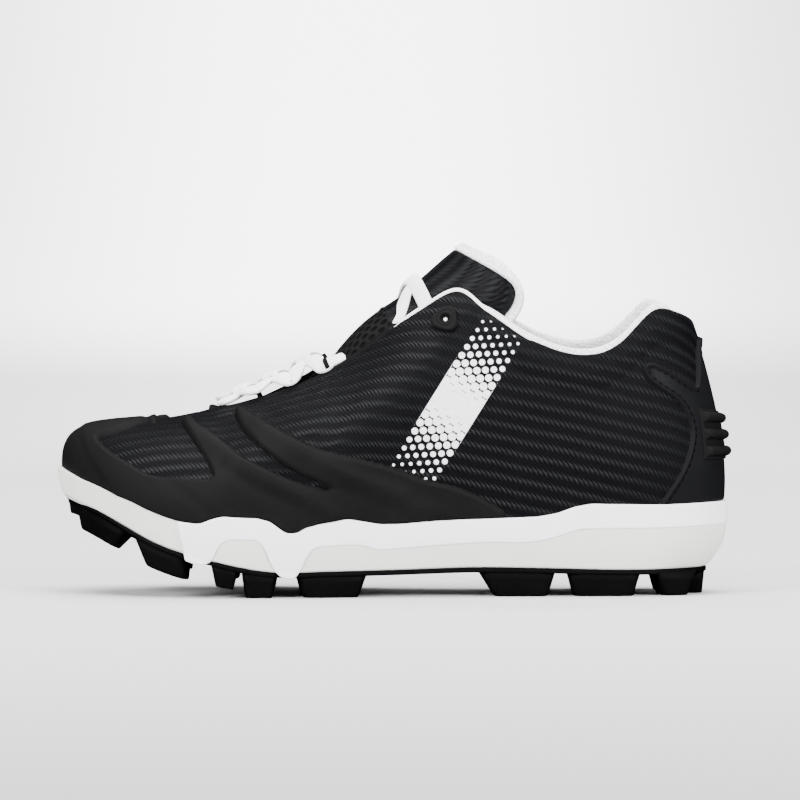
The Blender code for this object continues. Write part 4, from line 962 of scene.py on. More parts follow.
def braided_threads(vector, pitch, threads):
    """Two sets of slanted threads crossing a strip, from its length and the place round it."""
    x, y, _ = parts_of(vector)
    along, around = x / pitch, y * threads
    height = maths("MAXIMUM", *[maths("PINGPONG", way, 0.5) for way in (along + around, along - around)])
    # Gap shade: where painted shade goes between the threads
    return {"Height": height, "Gaps": ramp(height, 0.05, 0.30)}


def terry_pile(vector, scale):
    """Terry loops: rounded cells standing close together, with gaps between them."""
    cells = add_node(vector, "ShaderNodeTexVoronoi", {"Vector": vector, "Scale": scale})
    tuft = 1.0 - Field(cells.outputs["Distance"])
    # Gap shade: where painted shade goes between the tufts
    return {"Height": noise(vector, scale * 0.12, 2.0) * 0.8 + tuft, "Gaps": ramp(tuft, 0.25, 0.75)}


TWILL = new_group("pressed twill", pressed_twill, "Row", "Cell")
GRAIN = new_group("moulded grain", moulded_grain, "Scale")
THREADS = new_group("braided threads", braided_threads, "Pitch", "Threads")
PILE = new_group("terry pile", terry_pile, "Scale")


def new_finish(name, roughness, specular, sheen=0.0):
    """A material and its shader, with the values that are the same all over it."""
    made = bpy.data.materials.new(name)
    made.use_nodes = True
    shader = made.node_tree.nodes["Principled BSDF"]
    shader.inputs["Roughness"].default_value = roughness
    shader.inputs["Specular IOR Level"].default_value = specular
    shader.inputs["Sheen Weight"].default_value = sheen
    return made, shader


def position(shader):
    return Field(add_node(shader, "ShaderNodeTexCoord", {}).outputs["Object"])


def cloth_map(shader):
    return Field(add_node(shader, "ShaderNodeUVMap", {}, uv_map="cloth").outputs["UV"])


def feed(shader, colour, normal=None, roughness=None):
    for name, value in (("Base Color", colour), ("Roughness", roughness), ("Normal", normal)):
        if value is not None:
            set_input(shader.inputs[name], value)


def moulded_finish(name, colour, lighter, roughness, depth, scale, specular):
    """A moulded rubber or plastic: fine grain and slow mottle."""
    made, shader = new_finish(name, roughness, specular)
    grain = use_group(GRAIN, position(shader), Scale=scale)
    rough = ramp(grain["Mottle"], 0.3, 0.7, roughness - 0.06, roughness + 0.08)
    feed(shader, mixed(grain["Mottle"], colour, lighter), bumped(grain["Height"], depth * MM), rough)
    return made


def panel_axes(place):
    """Lengths up the printed panel and across it, from its middle, in the side view."""
    x, _, z = parts_of(place)
    x, z = x - DOTS_X, z - DOTS_Z
    c, s = math.cos(DOTS_LEAN), math.sin(DOTS_LEAN)
    return x * c + z * s, z * c - x * s


def dot_field(along, across):
    """A plain slanted panel of round printed dots, largest halfway up and dwindling to both ends.

    Two lattices, one set halfway into the other, give the distance to the nearest dot's middle.
    """
    found = []
    for shift in (0.0, 0.5):
        lattice = ((along, DOT_PITCH), (across, DOT_PITCH * 1.4))
        near = [off_round(value / pitch + shift) * pitch for value, pitch in lattice]
        found.append(maths("SQRT", near[0] * near[0] + near[1] * near[1]))
    end = abs(along) / (DOTS_LENGTH / 2)
    radius = ramp(end, 0.0, 1.0, DOT_RADIUS, DOT_RADIUS * 0.22, "LINEAR")
    dot = ramp(radius - maths("MINIMUM", *found), -DOT_EDGE, DOT_EDGE)
    inside = ramp(DOTS_WIDTH / 2 - abs(across), -DOT_EDGE, DOT_EDGE)
    return dot * inside * ramp(end, 1.01, 0.99)


def twill_finish(name):
    """Black synthetic pressed with twill rows, glossier on the raised cells than between them, with the
    printed panel. Its colour carries a painted sheen on the raised cells and painted shade between them.
    The cells are shorter in front of the panel."""
    made, shader = new_finish(name, 0.4, specular=0.05)
    place = position(shader)
    along, across = panel_axes(place)
    cell = maths("GREATER_THAN", across, 0.0) * (-0.22 * TWILL_CELL) + TWILL_CELL
    twill = use_group(TWILL, cloth_map(shader), Row=TWILL_ROW, Cell=cell)
    grain = use_group(GRAIN, place, Scale=1400.0)
    printed = dot_field(along, across)
    # Painted sheen on the raised cells and painted shade between them, with the print over both
    shade = mixed(printed, mixed(twill["Height"] ** 1.6, TWILL_GAP_PAINTED_SHADE, TWILL_CELL_PAINTED_SHEEN), DOT_COLOUR)
    rough = maths("MAXIMUM", ramp(twill["Raised"], 0.0, 0.8, 0.6, 0.33), printed * 0.5)
    height = (grain["Height"] * 0.10 + twill["Height"]) * (printed * -0.75 + 1.0) + printed * 0.25
    feed(shader, shade, bumped(height, TWILL_DEPTH), rough)
    return made


def terry_finish(name, colour, gap_painted_shade, scale, dark_front=False):
    """Terry or fleece: tufts with soft shade between them. The throat's facing in front is dark."""
    made, shader = new_finish(name, 0.95, specular=0.15, sheen=0.25)
    place = position(shader)
    pile = use_group(PILE, place, Scale=scale)
    shade = mixed(pile["Gaps"], gap_painted_shade, colour)
    if dark_front:
        front = ramp(parts_of(place)[0], FACING_X - 0.5 * MM, FACING_X + 0.5 * MM, 1.0, 0.0)
        shade = mixed(front, shade, (0.008, 0.008, 0.009))
    feed(shader, shade, bumped(pile["Height"], 0.45 * MM, 0.8))
    return made


def woven_finish(name, colour, gap_painted_shade, pitch, threads, depth, specular=0.25, sheen=0.1, roughness=0.85):
    """Lace, piping or webbing: crossing threads over its own length and width, with painted shade in the
    gaps between them.
    """
    made, shader = new_finish(name, roughness, specular, sheen)
    weave = use_group(THREADS, cloth_map(shader), Pitch=pitch * MM, Threads=threads)
    height = noise(position(shader), 1500.0, 2.0) * 0.35 + weave["Height"]
    feed(shader, mixed(weave["Gaps"], gap_painted_shade, colour), bumped(height, depth * MM))
    return made


def tongue_finish(name):
    """The tongue's face: pressed twill above its seam, with the same painted sheen and painted shade, and
    open mesh with oval holes below it, the holes painted dark as painted shade.
    """
    made, shader = new_finish(name, 0.45, specular=0.05)
    flat = cloth_map(shader)
    twill = use_group(TWILL, flat, Row=TWILL_ROW, Cell=TWILL_CELL)
    x, y, _ = parts_of(flat)
    column = y / MESH_COLUMN
    a, b = off_round(x / MESH_HOLE + maths("ROUND", column) * 0.5), off_round(column)
    net = ramp(maths("SQRT", a * a + b * b), 0.22, 0.40)
    mesh_part = ramp(x, TONGUE_SEAM - 0.4 * MM, TONGUE_SEAM + 0.4 * MM, 1.0, 0.0)
    cloth_shade = mixed(twill["Raised"], TWILL_GAP_PAINTED_SHADE, TWILL_CELL_PAINTED_SHEEN)
    # The mesh's holes are painted dark: painted shade
    net_shade = mixed(net, (0.0008, 0.0008, 0.0009), (0.0045, 0.0045, 0.0048))
    height = twill["Height"] * (1.0 - mesh_part) + net * 2.6 * mesh_part
    shade = mixed(mesh_part, cloth_shade, net_shade)
    feed(shader, shade, bumped(height, 0.30 * MM), ramp(mesh_part, 0.0, 1.0, 0.42, 0.8))
    return made


def cloth_coordinates(at_p, at_t):
    """Two lengths along the cloth at places on the upper: along its rows, and across them.

    The rows run along the shoe, and slope down towards the heel on the quarters. On a coarse grid the
    two lengths are the least-squares answer to one equation for each pair of neighbours: their
    difference is the step between them along, or across, the rows. Curves carry them to any place.
    """
    p, t = np.linspace(0, 2, 81), np.linspace(0, 1, 15)
    grid_p, grid_t = np.meshgrid(p, t, indexing="ij")
    inner_p = np.clip(grid_p, 0.001, 1.999)
    point = upper_surface(inner_p, grid_t)
    normal = upper_normal(inner_p, np.clip(grid_t, 0.0, 0.995))
    slope = ROW_SLOPE * smooth_step(-0.03, 0.03, point[..., 0])
    heading = np.stack([np.cos(slope), np.zeros_like(slope), -np.sin(slope)], axis=-1)
    heading = heading - normal * np.sum(heading * normal, axis=-1, keepdims=True)
    trust = np.linalg.norm(heading, axis=-1) + 0.05
    heading = unit(heading)
    fields = np.stack([heading, np.cross(normal, heading)])
    index = np.arange(grid_p.size).reshape(grid_p.shape)
    matrix = np.zeros((grid_p.size, grid_p.size))
    wanted = np.zeros((grid_p.size, 2))
    whole, first, second = slice(None), slice(0, -1), slice(1, None)
    for one, two in (((first, whole), (second, whole)), ((whole, first), (whole, second))):
        i, j = index[one].ravel(), index[two].ravel()
        step = (point[two] - point[one]).reshape(-1, 3)
        field = ((fields[:, *one] + fields[:, *two]) / 2).reshape(2, -1, 3)
        weight = (trust[one] * trust[two]).ravel()
        change = np.sum(field * step, axis=-1) * weight
        for a, b, sign in ((i, j, -1.0), (j, i, 1.0)):
            np.add.at(matrix, (a, a), weight)
            np.add.at(matrix, (a, b), -weight)
            np.add.at(wanted, a, sign * change.T)
    matrix[0, 0] += 1.0
    lengths = np.linalg.solve(matrix, wanted).reshape(*grid_p.shape, 2)
    by_p = spline(at_p, p, lengths.reshape(len(p), -1)).reshape(len(at_p), len(t), 2)
    by_t = spline(at_t, t, by_p.transpose(1, 0, 2).reshape(len(t), -1))
    return by_t.reshape(len(at_t), len(at_p), 2)


def relief(x, z, table):
    """Soft ridges along lines of the side view: each a bell curve of the distance to its line, that
    runs out over its own width past the line's ends."""
    total = np.zeros_like(x)
    for depth, width, line in table:
        total += depth * MM * bell(line_distance(x, z, in_side_view(line, INSTEP_HEIGHT))[0], width * MM)
    return total


def edge_distance(p, t):
    """The length along the surface from a place up to the upper's opening."""
    at = t[..., None] + (1 - t[..., None]) * np.linspace(0, 1, 9)
    line = upper_surface(p[..., None], at)
    return np.sum(np.linalg.norm(np.diff(line, axis=-2), axis=-1), axis=-1)


def skin_lift(p, t, point):
    """How far the upper's skin stands out: the collar's padding, the seam under it, two grooves
    beside the throat's edge, and the creases."""
    f = share_round(p)
    from_edge = edge_distance(p, np.clip(t, 0, 1))
    collar = 1 - smooth_step(0.44, 0.54, f)
    swell = np.clip(1 - np.abs(from_edge - COLLAR_ZONE / 2) / (COLLAR_ZONE / 2), 0, 1)
    lift = 0.8 * MM * collar * swell**0.7
    lift = lift - 0.12 * MM * collar * bell(from_edge - COLLAR_ZONE, 1.8 * MM)
    throat = smooth_step(0.58, 0.64, f)
    for depth, place, width in THROAT_GROOVES:
        lift = lift - depth * throat * bell(from_edge - place, width)
    away_from_edges = smooth_step(0, 6 * MM, from_edge) * smooth_step(0.02, 0.12, t)
    return lift - relief(point[..., 0], point[..., 2], UPPER_CREASES) * away_from_edges


def make_upper_skin(finish):
    """The black outer layer: the upper's surface with its lift, rolled over the opening's edge and
    back down one skin's thickness inside."""
    p = places(561)
    t = np.concatenate([[-0.35, -0.15], np.linspace(0, 0.86, 84), np.linspace(0.87, 1.0, 30)])
    grid_p, grid_t = np.meshgrid(p, t)
    base = upper_surface(grid_p, grid_t)
    outer = base + upper_normal(grid_p, grid_t) * skin_lift(grid_p, grid_t, base)[..., None]
    inner = off_upper(*np.meshgrid(p, [*np.linspace(1.0, 0.0, 22), -0.35]), -SKIN)
    top, under = outer[-1], inner[0]
    roll = [
        (top + under) / 2 + (top - under) / 2 * math.cos(a) + opening_up(p) * SKIN / 2 * math.sin(a)
        for a in np.linspace(0, math.pi, 6)[1:-1]
    ]
    rings = np.concatenate([outer, np.array(roll), inner, outer[:1]])
    cloth = cloth_coordinates(p, np.clip(t, 0, 1))
    cloth = np.concatenate([cloth, np.repeat(cloth[-1:], len(roll) + len(inner), axis=0), cloth[:1]])
    add_piece("upper_skin", [rings], finish, ("upper",), [cloth])


def roll_height(p):
    """How far the terry collar stands over the skin's edge: least at the heel's peak and the throat,
    and more on the medial side, where it shows over the lateral one."""
    f = share_round(p)
    round_ankle = smooth_step(0.05, 0.15, f) * (1 - smooth_step(0.42, 0.52, f))
    medial = smooth_step(1.0, 1.1, np.mod(p, 2.0))
    return THROAT_ROLL + (COLLAR_ROLL + (0.9 + 1.3 * medial) * MM - THROAT_ROLL) * round_ankle


def make_lining(finish):
    """The terry lining inside the skin: over the opening's edge in a roll, down the padded collar
    and on to the footbed, and back up behind the skin."""
    p = places(421)
    grid = np.meshgrid(p, [*np.linspace(1.0, 0.55, 22), *np.linspace(0.5, 0.0, 10), -0.6, -1.0])
    inner = off_upper(*grid, -upper_wall(*grid))
    behind = off_upper(*np.meshgrid(p, [-1.0, -0.6, *np.linspace(0.0, 0.97, 12)]), -SKIN - 0.05 * MM)
    outside, inside = off_upper(p, 1.0, -SKIN * 0.55), inner[0]
    rise = opening_up(p) * roll_height(p)[:, None]
    roll = [
        (outside + inside) / 2 + (outside - inside) / 2 * math.cos(a) + rise * math.sin(a) ** 0.8
        for a in np.linspace(0, math.pi, 14)[1:-1]
    ]
    rings = np.concatenate([behind, outside[None], np.array(roll), inner, behind[:1]])
    add_piece("collar_lining", [rings], finish)


def opening_path(first, last, count, lift):
    """A path along the opening's edge between two places, raised out of it."""
    p = np.linspace(first, last, count)
    lift = np.broadcast_to(lift, p.shape)[:, None]
    return off_upper(p, 1.0, -SKIN / 2) + opening_up(p) * lift, upper_normal(p, 1.0)


def make_piping(finish):
    """The white piping on both eyestays' edges, from the throat up to the collar's roll."""
    count = 90
    ends = np.clip(np.minimum(np.arange(count), np.arange(count)[::-1]) / 6, 0.35, 1)
    wide = 2 * PIPING_RADIUS * ends
    swept = [
        sweep(*opening_path(start, stop, count, PIPING_RADIUS * 0.55), wide, wide, power=2.0)
        for start, stop in ((PIPING_START, PIPING_STOP), (2 - PIPING_START, 2 - PIPING_STOP))
    ]
    add_swept("collar_piping", swept, finish)


def make_binding(finish):
    """The folded black binding round the throat's edge, from one eyestay round the front. It is
    broader beside the top lace row."""
    stretch = (BINDING_START, 2 - BINDING_START, 240)
    f = share_round(np.linspace(*stretch))
    broad = smooth_step(BINDING_START, 0.585, f) * (1 - smooth_step(0.605, 0.650, f))
    path = opening_path(*stretch, BINDING_RADIUS * (0.55 + 1.2 * broad))
    swept = sweep(*path, 2 * BINDING_RADIUS * (1 + 0.9 * broad), 2.2 * BINDING_RADIUS, power=2.4)
    add_swept("throat_binding", [swept], finish)


def overlay(name, p, t, height, finish, node):
    """A layer that stands out of the upper by a height at each place. It goes down into the skin
    past its outline, where its faces are left out, and a Solidify wall closes it inside the skin."""
    grid_p, grid_t = np.meshgrid(p, t)
    base = upper_surface(grid_p, grid_t)
    normal = upper_normal(grid_p, grid_t)
    high = height(grid_p, grid_t, base)
    points = base + normal * high[..., None]
    corners = np.stack([high[:-1, :-1], high[1:, :-1], high[:-1, 1:], high[1:, 1:]])
    keep = corners.max(axis=0) > HEIGHT_BELOW + 0.02 * MM
    row, column = len(t) // 2, len(p) // 2
    centre = points[row, column]
    facing = np.cross(points[row, column + 1] - centre, points[row + 1, column] - centre)
    if np.sum(facing * normal[row, column]) < 0:
        points, keep = points[::-1], keep[::-1]
    faces = grid_faces(*points.shape[:2])[keep.ravel()]
    made = new_piece(name, points.reshape(-1, 3), faces, finish, (node,))
    wall = made.modifiers.new("wall", "SOLIDIFY")
    wall.thickness = 0.55 * MM
    wall.offset = -1


def step_up(inside, top, width, point):
    """The height of a moulded layer: from inside the skin up to its top over a width at its edge,
    rounded above, and rounded down into the sole's top edge at its foot."""
    share = np.clip((inside + 0.3 * width) / width, 0, 1)
    height = (top - HEIGHT_BELOW) * np.sin(share * math.pi / 2) ** 0.8
    above = point[..., 2] - top_z(u_of(point))
    return HEIGHT_BELOW + height * rounded((above + 0.1 * MM) / FOOT_ROUNDING)


def guard_height(_p, _t, point):
    """The guard: a rubber layer outside its windows, with ridges along its fingers, troughs beside
    them and a facet on the toe cap."""
    x, y, z = point[..., 0], point[..., 1], point[..., 2]

    def shift(u):
        return FINGER_SHIFT * np.clip((FINGER_SHIFT_FRONT - u) / 0.12, 0, 1)

    lateral = side_distance(x, z, in_side_view(GUARD_WINDOWS, INSTEP_HEIGHT, True))
    medial = side_distance(x, z, in_side_view(GUARD_WINDOWS, INSTEP_HEIGHT, True, shift))
    share = smooth_step(0.0, 6 * MM, y)
    inside = -(lateral + (medial - lateral) * share)
    shifted_x = x + share * shift(u_of(point)) * LENGTH
    top = GAP + GUARD_THICKNESS + relief(shifted_x, z, GUARD_RIDGES) - relief(shifted_x, z, GUARD_TROUGHS)
    facet, above = line_distance(x, z, in_side_view(CAP_FACET, INSTEP_HEIGHT))
    top = top + 0.6 * MM * smooth_step(-1.5 * MM, 1.5 * MM, facet * above)
    return step_up(inside, top, 1.3 * MM, point)


def make_toe_guard(finish):
    """The moulded rubber guard over the toe, its fingers running back along both sides."""
    p, t = places(541, 0.31, 1.69), np.array([-0.30, *np.linspace(-0.02, 0.99, 106)])
    overlay("toe_guard_moulding", p, t, guard_height, finish, "toe_guard")


def counter_height(p, t, point):
    """The counter: a thin layer with a corded edge, and a groove where its stitches sink in."""
    inside = side_distance(point[..., 0], point[..., 2], in_side_view(COUNTER, HEEL_HEIGHT, True))
    cord = 0.85 * MM * bell(inside - 0.55 * COUNTER_CORD, 0.42 * COUNTER_CORD)
    groove = 0.25 * MM * bell(inside - 1.35 * COUNTER_CORD, 0.35 * MM)
    return step_up(inside, COUNTER_TOP + cord - groove + skin_lift(p, t, point), 0.9 * MM, point)


def make_counter(finish):
    """The heel counter, with an ear on each side and a tab up the back."""
    p, t = places(301, -0.27, 0.27), np.array([-0.30, *np.linspace(-0.02, 0.985, 120)])
    overlay("heel_counter_shell", p, t, counter_height, finish, "heel_counter")


def make_counter_stitches(finish):
    """A row of stitches in the groove along the counter's corded edge, on both sides."""
    outline = in_side_view(COUNTER, HEEL_HEIGHT, True)
    inward = unit(np.stack([-np.gradient(outline[:, 1]), np.gradient(outline[:, 0])], axis=1))
    if side_distance(*(outline[5] + inward[5] * MM).reshape(2, 1), outline)[0] < 0:
        inward = -inward
    path = outline + inward * 1.45 * COUNTER_CORD
    shown = (u_of(path) > 0.046) & (path[:, 1] > top_z(u_of(path)) + 1.5 * MM)
    path = resampled(path[shown], STITCH_LENGTH + STITCH_GAP)
    blocks = []
    for side in (-1, 1):
        p, t = on_the_side(path, side)
        centres = off_upper(p, t, COUNTER_TOP + skin_lift(p, t, upper_surface(p, t)))
        directions = np.gradient(centres, axis=0)
        blocks.append(capsules(centres, directions, upper_normal(p, t), STITCH_LENGTH, STITCH_RADIUS))
    add_piece("counter_stitches", blocks, finish)


def make_bumper(finish):
    """The ribbed block on the heel: three half-round ribs with round ends on a base with a rounded
    border. Each rib's height is an ellipse across it, and a quarter circle over its last stretch."""
    p, t = np.meshgrid(np.linspace(-BUMPER_P, BUMPER_P, 161), np.linspace(BUMPER_LOW, BUMPER_HIGH, 170))
    share = (t - BUMPER_LOW) / (BUMPER_HIGH - BUMPER_LOW)
    place = np.mod(3 * share, 1.0) - 0.5
    rib = np.sqrt(np.clip(1 - (place / 0.31) ** 2, 0, 1))
    from_end = (1 - np.abs(p) / BUMPER_P) * BUMPER_HALF
    ends = rounded((from_end - 0.9 * MM) / (2.2 * MM))
    border = rounded(np.minimum(from_end, np.minimum(share, 1 - share) * BUMPER_TALL) / (0.9 * MM))
    low = GAP + COUNTER_THICKNESS * 0.5
    outer = off_upper(p, t, low + (BUMPER_BASE + GAP) * border + (BUMPER_RIB + 0.5 * MM) * rib * ends)
    body = envelope(outer, off_upper(p, t, low - 0.3 * MM))
    add_piece("heel_bumper_block", [body], finish, ("heel_bumper",))


def make_eyelets(finish, lace):
    """The moulded reinforcement round each top lace hole, turned from a profile on a rounded
    three-cornered outline, and the lace's end that fills the hole behind it."""
    angle = np.linspace(0, 2 * math.pi, 73)
    rings, ends = [], []
    for place in (EYELET_PLACE[0], 2 - EYELET_PLACE[0]):
        centre, axis = upper_surface(place, EYELET_PLACE[1]), upper_normal(place, EYELET_PLACE[1])
        side = unit(np.cross(axis, [0.0, 0.0, 1.0]))
        up = np.cross(side, axis)

        def circle(r, height):
            x, y = (np.cos(angle) * r)[:, None], (np.sin(angle) * r)[:, None]
            return centre + x * side + y * up + axis * height

        rows = []
        for reach, height in EYELET_PROFILE:
            lobe = 1 + 0.11 * np.cos(3 * angle + 0.6) * smooth_step(0.5, 0.9, reach)
            rows.append(circle(reach * EYELET_RADIUS * lobe, height * EYELET_THICKNESS + 0.1 * MM))
        rings.append(np.array(rows))
        turns = np.linspace(0, math.pi, 9)
        dome = [circle(math.sin(k) * EYELET_HOLE * 0.75, (0.5 * math.cos(k) - 0.05) * MM) for k in turns]
        ends.append(np.array(dome))
    add_piece("eyelet_rings", rings, finish, ("eyelet_lateral", "eyelet_medial"))
    flat = np.stack(np.meshgrid(np.linspace(0, 3 * MM, 9), np.linspace(0, 1, 73), indexing="ij"), axis=-1)
    add_piece("lace_ends_in_eyelets", ends, lace, pattern=[flat, flat])


def tongue_thickness(v, w):
    padding = TONGUE_PADDING * np.clip((v - 0.5) / 0.3, 0, 1)
    thick = (TONGUE_THICKNESS + padding) * (1 - 0.55 * np.abs(w) ** 4)
    return thick * (1 - 0.35 * np.clip((v - 0.93) / 0.07, 0, 1))


def tongue_lengths(v, w):
    """Lengths along and across the tongue's face, from its lower end and its middle, its whole
    length, and half its width."""
    line = np.linspace(0, 1, 200)
    along = lengths_along(tongue_surface(line, 0.0))
    half = tongue_column(v, 2) * BALL_WIDTH * TONGUE_BEND / math.sin(TONGUE_BEND)
    return np.interp(v, line, along), w * half, along[-1], half


TONGUE_SEAM = float(tongue_lengths(tongue_place(0.512), 0.0)[0])
BULGE_LOW, BULGE_HIGH = tongue_place(0.590), tongue_place(0.484)


def tongue_face_lift(v, w):
    """The face's relief: a bulge over the top lace row, a raised seam and a quilted swell above."""
    seam = 0.5 * MM * bell(tongue_lengths(v, w)[0] - TONGUE_SEAM, 0.9 * MM)
    swell = 0.8 * MM * np.clip(np.sin(np.clip((v - 0.60) / 0.36, 0, 1) * math.pi), 0, 1)
    share = np.clip((v - BULGE_LOW) / (BULGE_HIGH - BULGE_LOW), 0, 1)
    return seam + (swell + 2.7 * MM * np.sin(share * math.pi) ** 0.8) * (1 - w**4)


def make_tongue(finish, fleece):
    """The padded tongue: a black face, and a fleece body behind it that rolls round its top and
    sides and stands a little over the face."""
    whole_v, whole_w = np.meshgrid(np.linspace(0, 1, 150), np.linspace(-1, 1, 101), indexing="ij")
    _, _, length, half = tongue_lengths(whole_v, whole_w)
    v = whole_v * (1 - FACE_INSET / length)
    w = whole_w * (1 - FACE_INSET / half * smooth_step(0.40, 0.48, whole_v))
    along, across, length, half = tongue_lengths(v, w)
    # The distance to the top and the sides, its corners rounded by a smooth minimum
    to_edges = (half - np.abs(across), length - along)
    border = -BORDER_SOFTNESS * np.log(sum(np.exp(-away / BORDER_SOFTNESS) for away in to_edges))
    fall = 0.9 * MM * (1 - smooth_step(FACE_INSET, FACE_INSET + 1.2 * MM, border))
    body = envelope(off_tongue(v, w, tongue_face_lift(v, w) - fall), off_tongue(v, w, -1.3 * MM))
    flat = np.stack([along, across], axis=-1)
    ring = np.concatenate([flat, flat[::-1], flat[:1]])
    flat = np.concatenate([ring[:, :1], ring, ring[:, -1:]], axis=1)
    add_piece("tongue_face", [body], finish, ("tongue",), [flat])
    v, w = whole_v, whole_w
    wide = FLEECE_WIDTH + 1.2 * MM * smooth_step(0.88, 0.97, v)
    rolled = smooth_step(0.46, 0.56, v) * (1 - smooth_step(wide - 0.9 * MM, wide + 0.3 * MM, border))
    round_off = 2.4 * MM * (1 - rounded(border / (2.2 * MM)))
    high = -1.35 * MM + (1.35 * MM + FLEECE_LIFT + tongue_face_lift(v, w)) * rolled - round_off
    back = -tongue_thickness(v, w) + round_off * 0.8
    beyond = unit(tongue_surface(1.0, w) - tongue_surface(0.97, w))
    beyond = beyond * (FLEECE_BEYOND * smooth_step(0.93, 1.0, v))[..., None]
    inner = off_tongue(v, w, np.minimum(back, high - 0.2 * MM)) + beyond * 0.8
    body = envelope(off_tongue(v, w, high) + beyond, inner)
    add_piece("tongue_fleece", [body], fleece)


def lace_path(route, over, per_span=16):
    """A lace half: the route as a smooth curve that swells up between the loops, and is raised or
    lowered where it crosses the other half."""
    v, w, lift = curve(route, per_span).T
    reach = np.maximum.accumulate([abs(row[1]) for row in route][::-1])[::-1]
    turn = np.arange(len(v)) / per_span
    edge = np.interp(turn, np.arange(len(route)), reach).max()
    swell = LACE_SWELL * (1 - np.clip(np.abs(w) / edge, 0, 1) ** 5)
    swell = swell * (0.3 + 0.7 * smooth_step(0.8, 2.2, turn))
    sign = over * np.where(np.mod(np.floor((turn + 1.0) / 3.0), 2) < 1, 1.0, -1.0)
    crossing = bell(w, 0.22) * LACE_THICKNESS * 0.7 * (1 + sign)
    return off_tongue(v, w, lift + swell + crossing), tongue_normal(v, w)


def top_lace_path(side):
    """A half of the top crossing: over the tongue and in under the eyestay to the top lace hole."""
    low, high = anchor(TOP_ROWS[0], side), anchor(TOP_ROWS[1], -side)
    lift = LACE_LIFT + (0.0 if side < 0 else LACE_THICKNESS * 1.25)
    v, w, height = np.array([(*low, LACE_LIFT), ((low[0] + high[0]) / 2, 0.0, lift)]).T
    p = np.array([EYELET_PLACE[0] + 0.022, EYELET_PLACE[0] + 0.004])
    p = p if side > 0 else 2 - p
    t = np.array([1.0, EYELET_PLACE[1]])
    points = np.concatenate([off_tongue(v, w, height), off_upper(p, t, -UPPER_WALL - 1.0 * MM)])
    facing = np.concatenate([tongue_normal(v, w), upper_normal(p, t)])
    return curve(points, 20), unit(curve(facing, 20))


def make_laces(finish):
    """The lacing up the throat from the front bar, and the crossing at the top."""
    size = (LACE_SHOWN * 1.15, LACE_THICKNESS * 1.7, 25, 2.3)
    swept = [sweep(*lace_path(lace_route(side), side), *size) for side in (-1, 1)]
    add_swept("throat_laces", swept, finish, ("laces",))
    size = (LACE_SHOWN, LACE_THICKNESS * 1.25, 25, 2.6)
    swept = [sweep(*top_lace_path(side), *size) for side in (-1, 1)]
    add_swept("top_lace_crossing", swept, finish, ("lace_top",))


def make_loops(finish):
    """The webbing loops: a strip from the throat's edge under the lace, round it and back over it."""
    inner = 2 * GAP + LOOP_THICKNESS / 2
    outer = 2 * GAP + 1.5 * LOOP_THICKNESS + 2 * LACE_CLEARANCE + LACE_THICKNESS
    middle, radius = (inner + outer) / 2, (outer - inner) / 2
    swept, nodes = [], []
    for index, u in enumerate(LACE_ROWS[1:]):
        v = tongue_place(u)
        reach = throat_half(u) - LOOP_ROOM
        tip = reach - 1.42 * LACE_WIDTH
        turn = np.linspace(-math.pi / 2, math.pi / 2, 15)
        flat = np.linspace(reach + 0.6 * MM, tip, 10)
        across = [*flat, *(tip - radius * np.cos(turn)), *flat[::-1]]
        lift = np.array([*[inner] * 10, *(middle + radius * np.sin(turn)), *[outer] * 10])
        for side, name in ((-1, "lateral"), (1, "medial")):
            w = np.array([side * tongue_across(v, y) for y in across])
            path = off_tongue(v, w, lift)
            along = unit(tongue_surface(v + 0.01, w) - tongue_surface(v - 0.01, w))
            normals = np.cross(unit(np.gradient(path, axis=0)), along)
            swept.append(sweep(path, normals, LOOP_SHOWN, LOOP_THICKNESS, power=4.0))
            nodes.append(f"lace_loop_{name}_{index + 1}")
    add_swept("webbing_loops", swept, finish, nodes)


def wall_ring(p, inset, z):
    """A ring round the sole's edge, moved in from it, at a height."""
    xy = edge_point(p, np.broadcast_to(inset, p.shape))
    return np.concatenate([xy, np.broadcast_to(z, p.shape)[:, None]], axis=1)


def cap_rows(ring, height, shares):
    """Rows that close a ring round the sole: its points drawn towards the line halfway between the
    two sides, with z from the share u of each point."""
    middle = (ring[:, :2] + ring[::-1, :2]) / 2
    rows = []
    for share in shares:
        xy = ring[:, :2] + (middle - ring[:, :2]) * share
        rows.append(np.concatenate([xy, height(u_of(xy))[:, None]], axis=1))
    return np.array(rows)


def capped(rows, under, over, under_shares=CAP_STEPS, over_shares=CAP_STEPS):
    """A closed grid from rings round the sole, with a cap of a given height below and above."""
    below, above = cap_rows(rows[0], under, under_shares)[::-1], cap_rows(rows[-1], over, over_shares)
    return np.concatenate([below, np.array(rows), above])


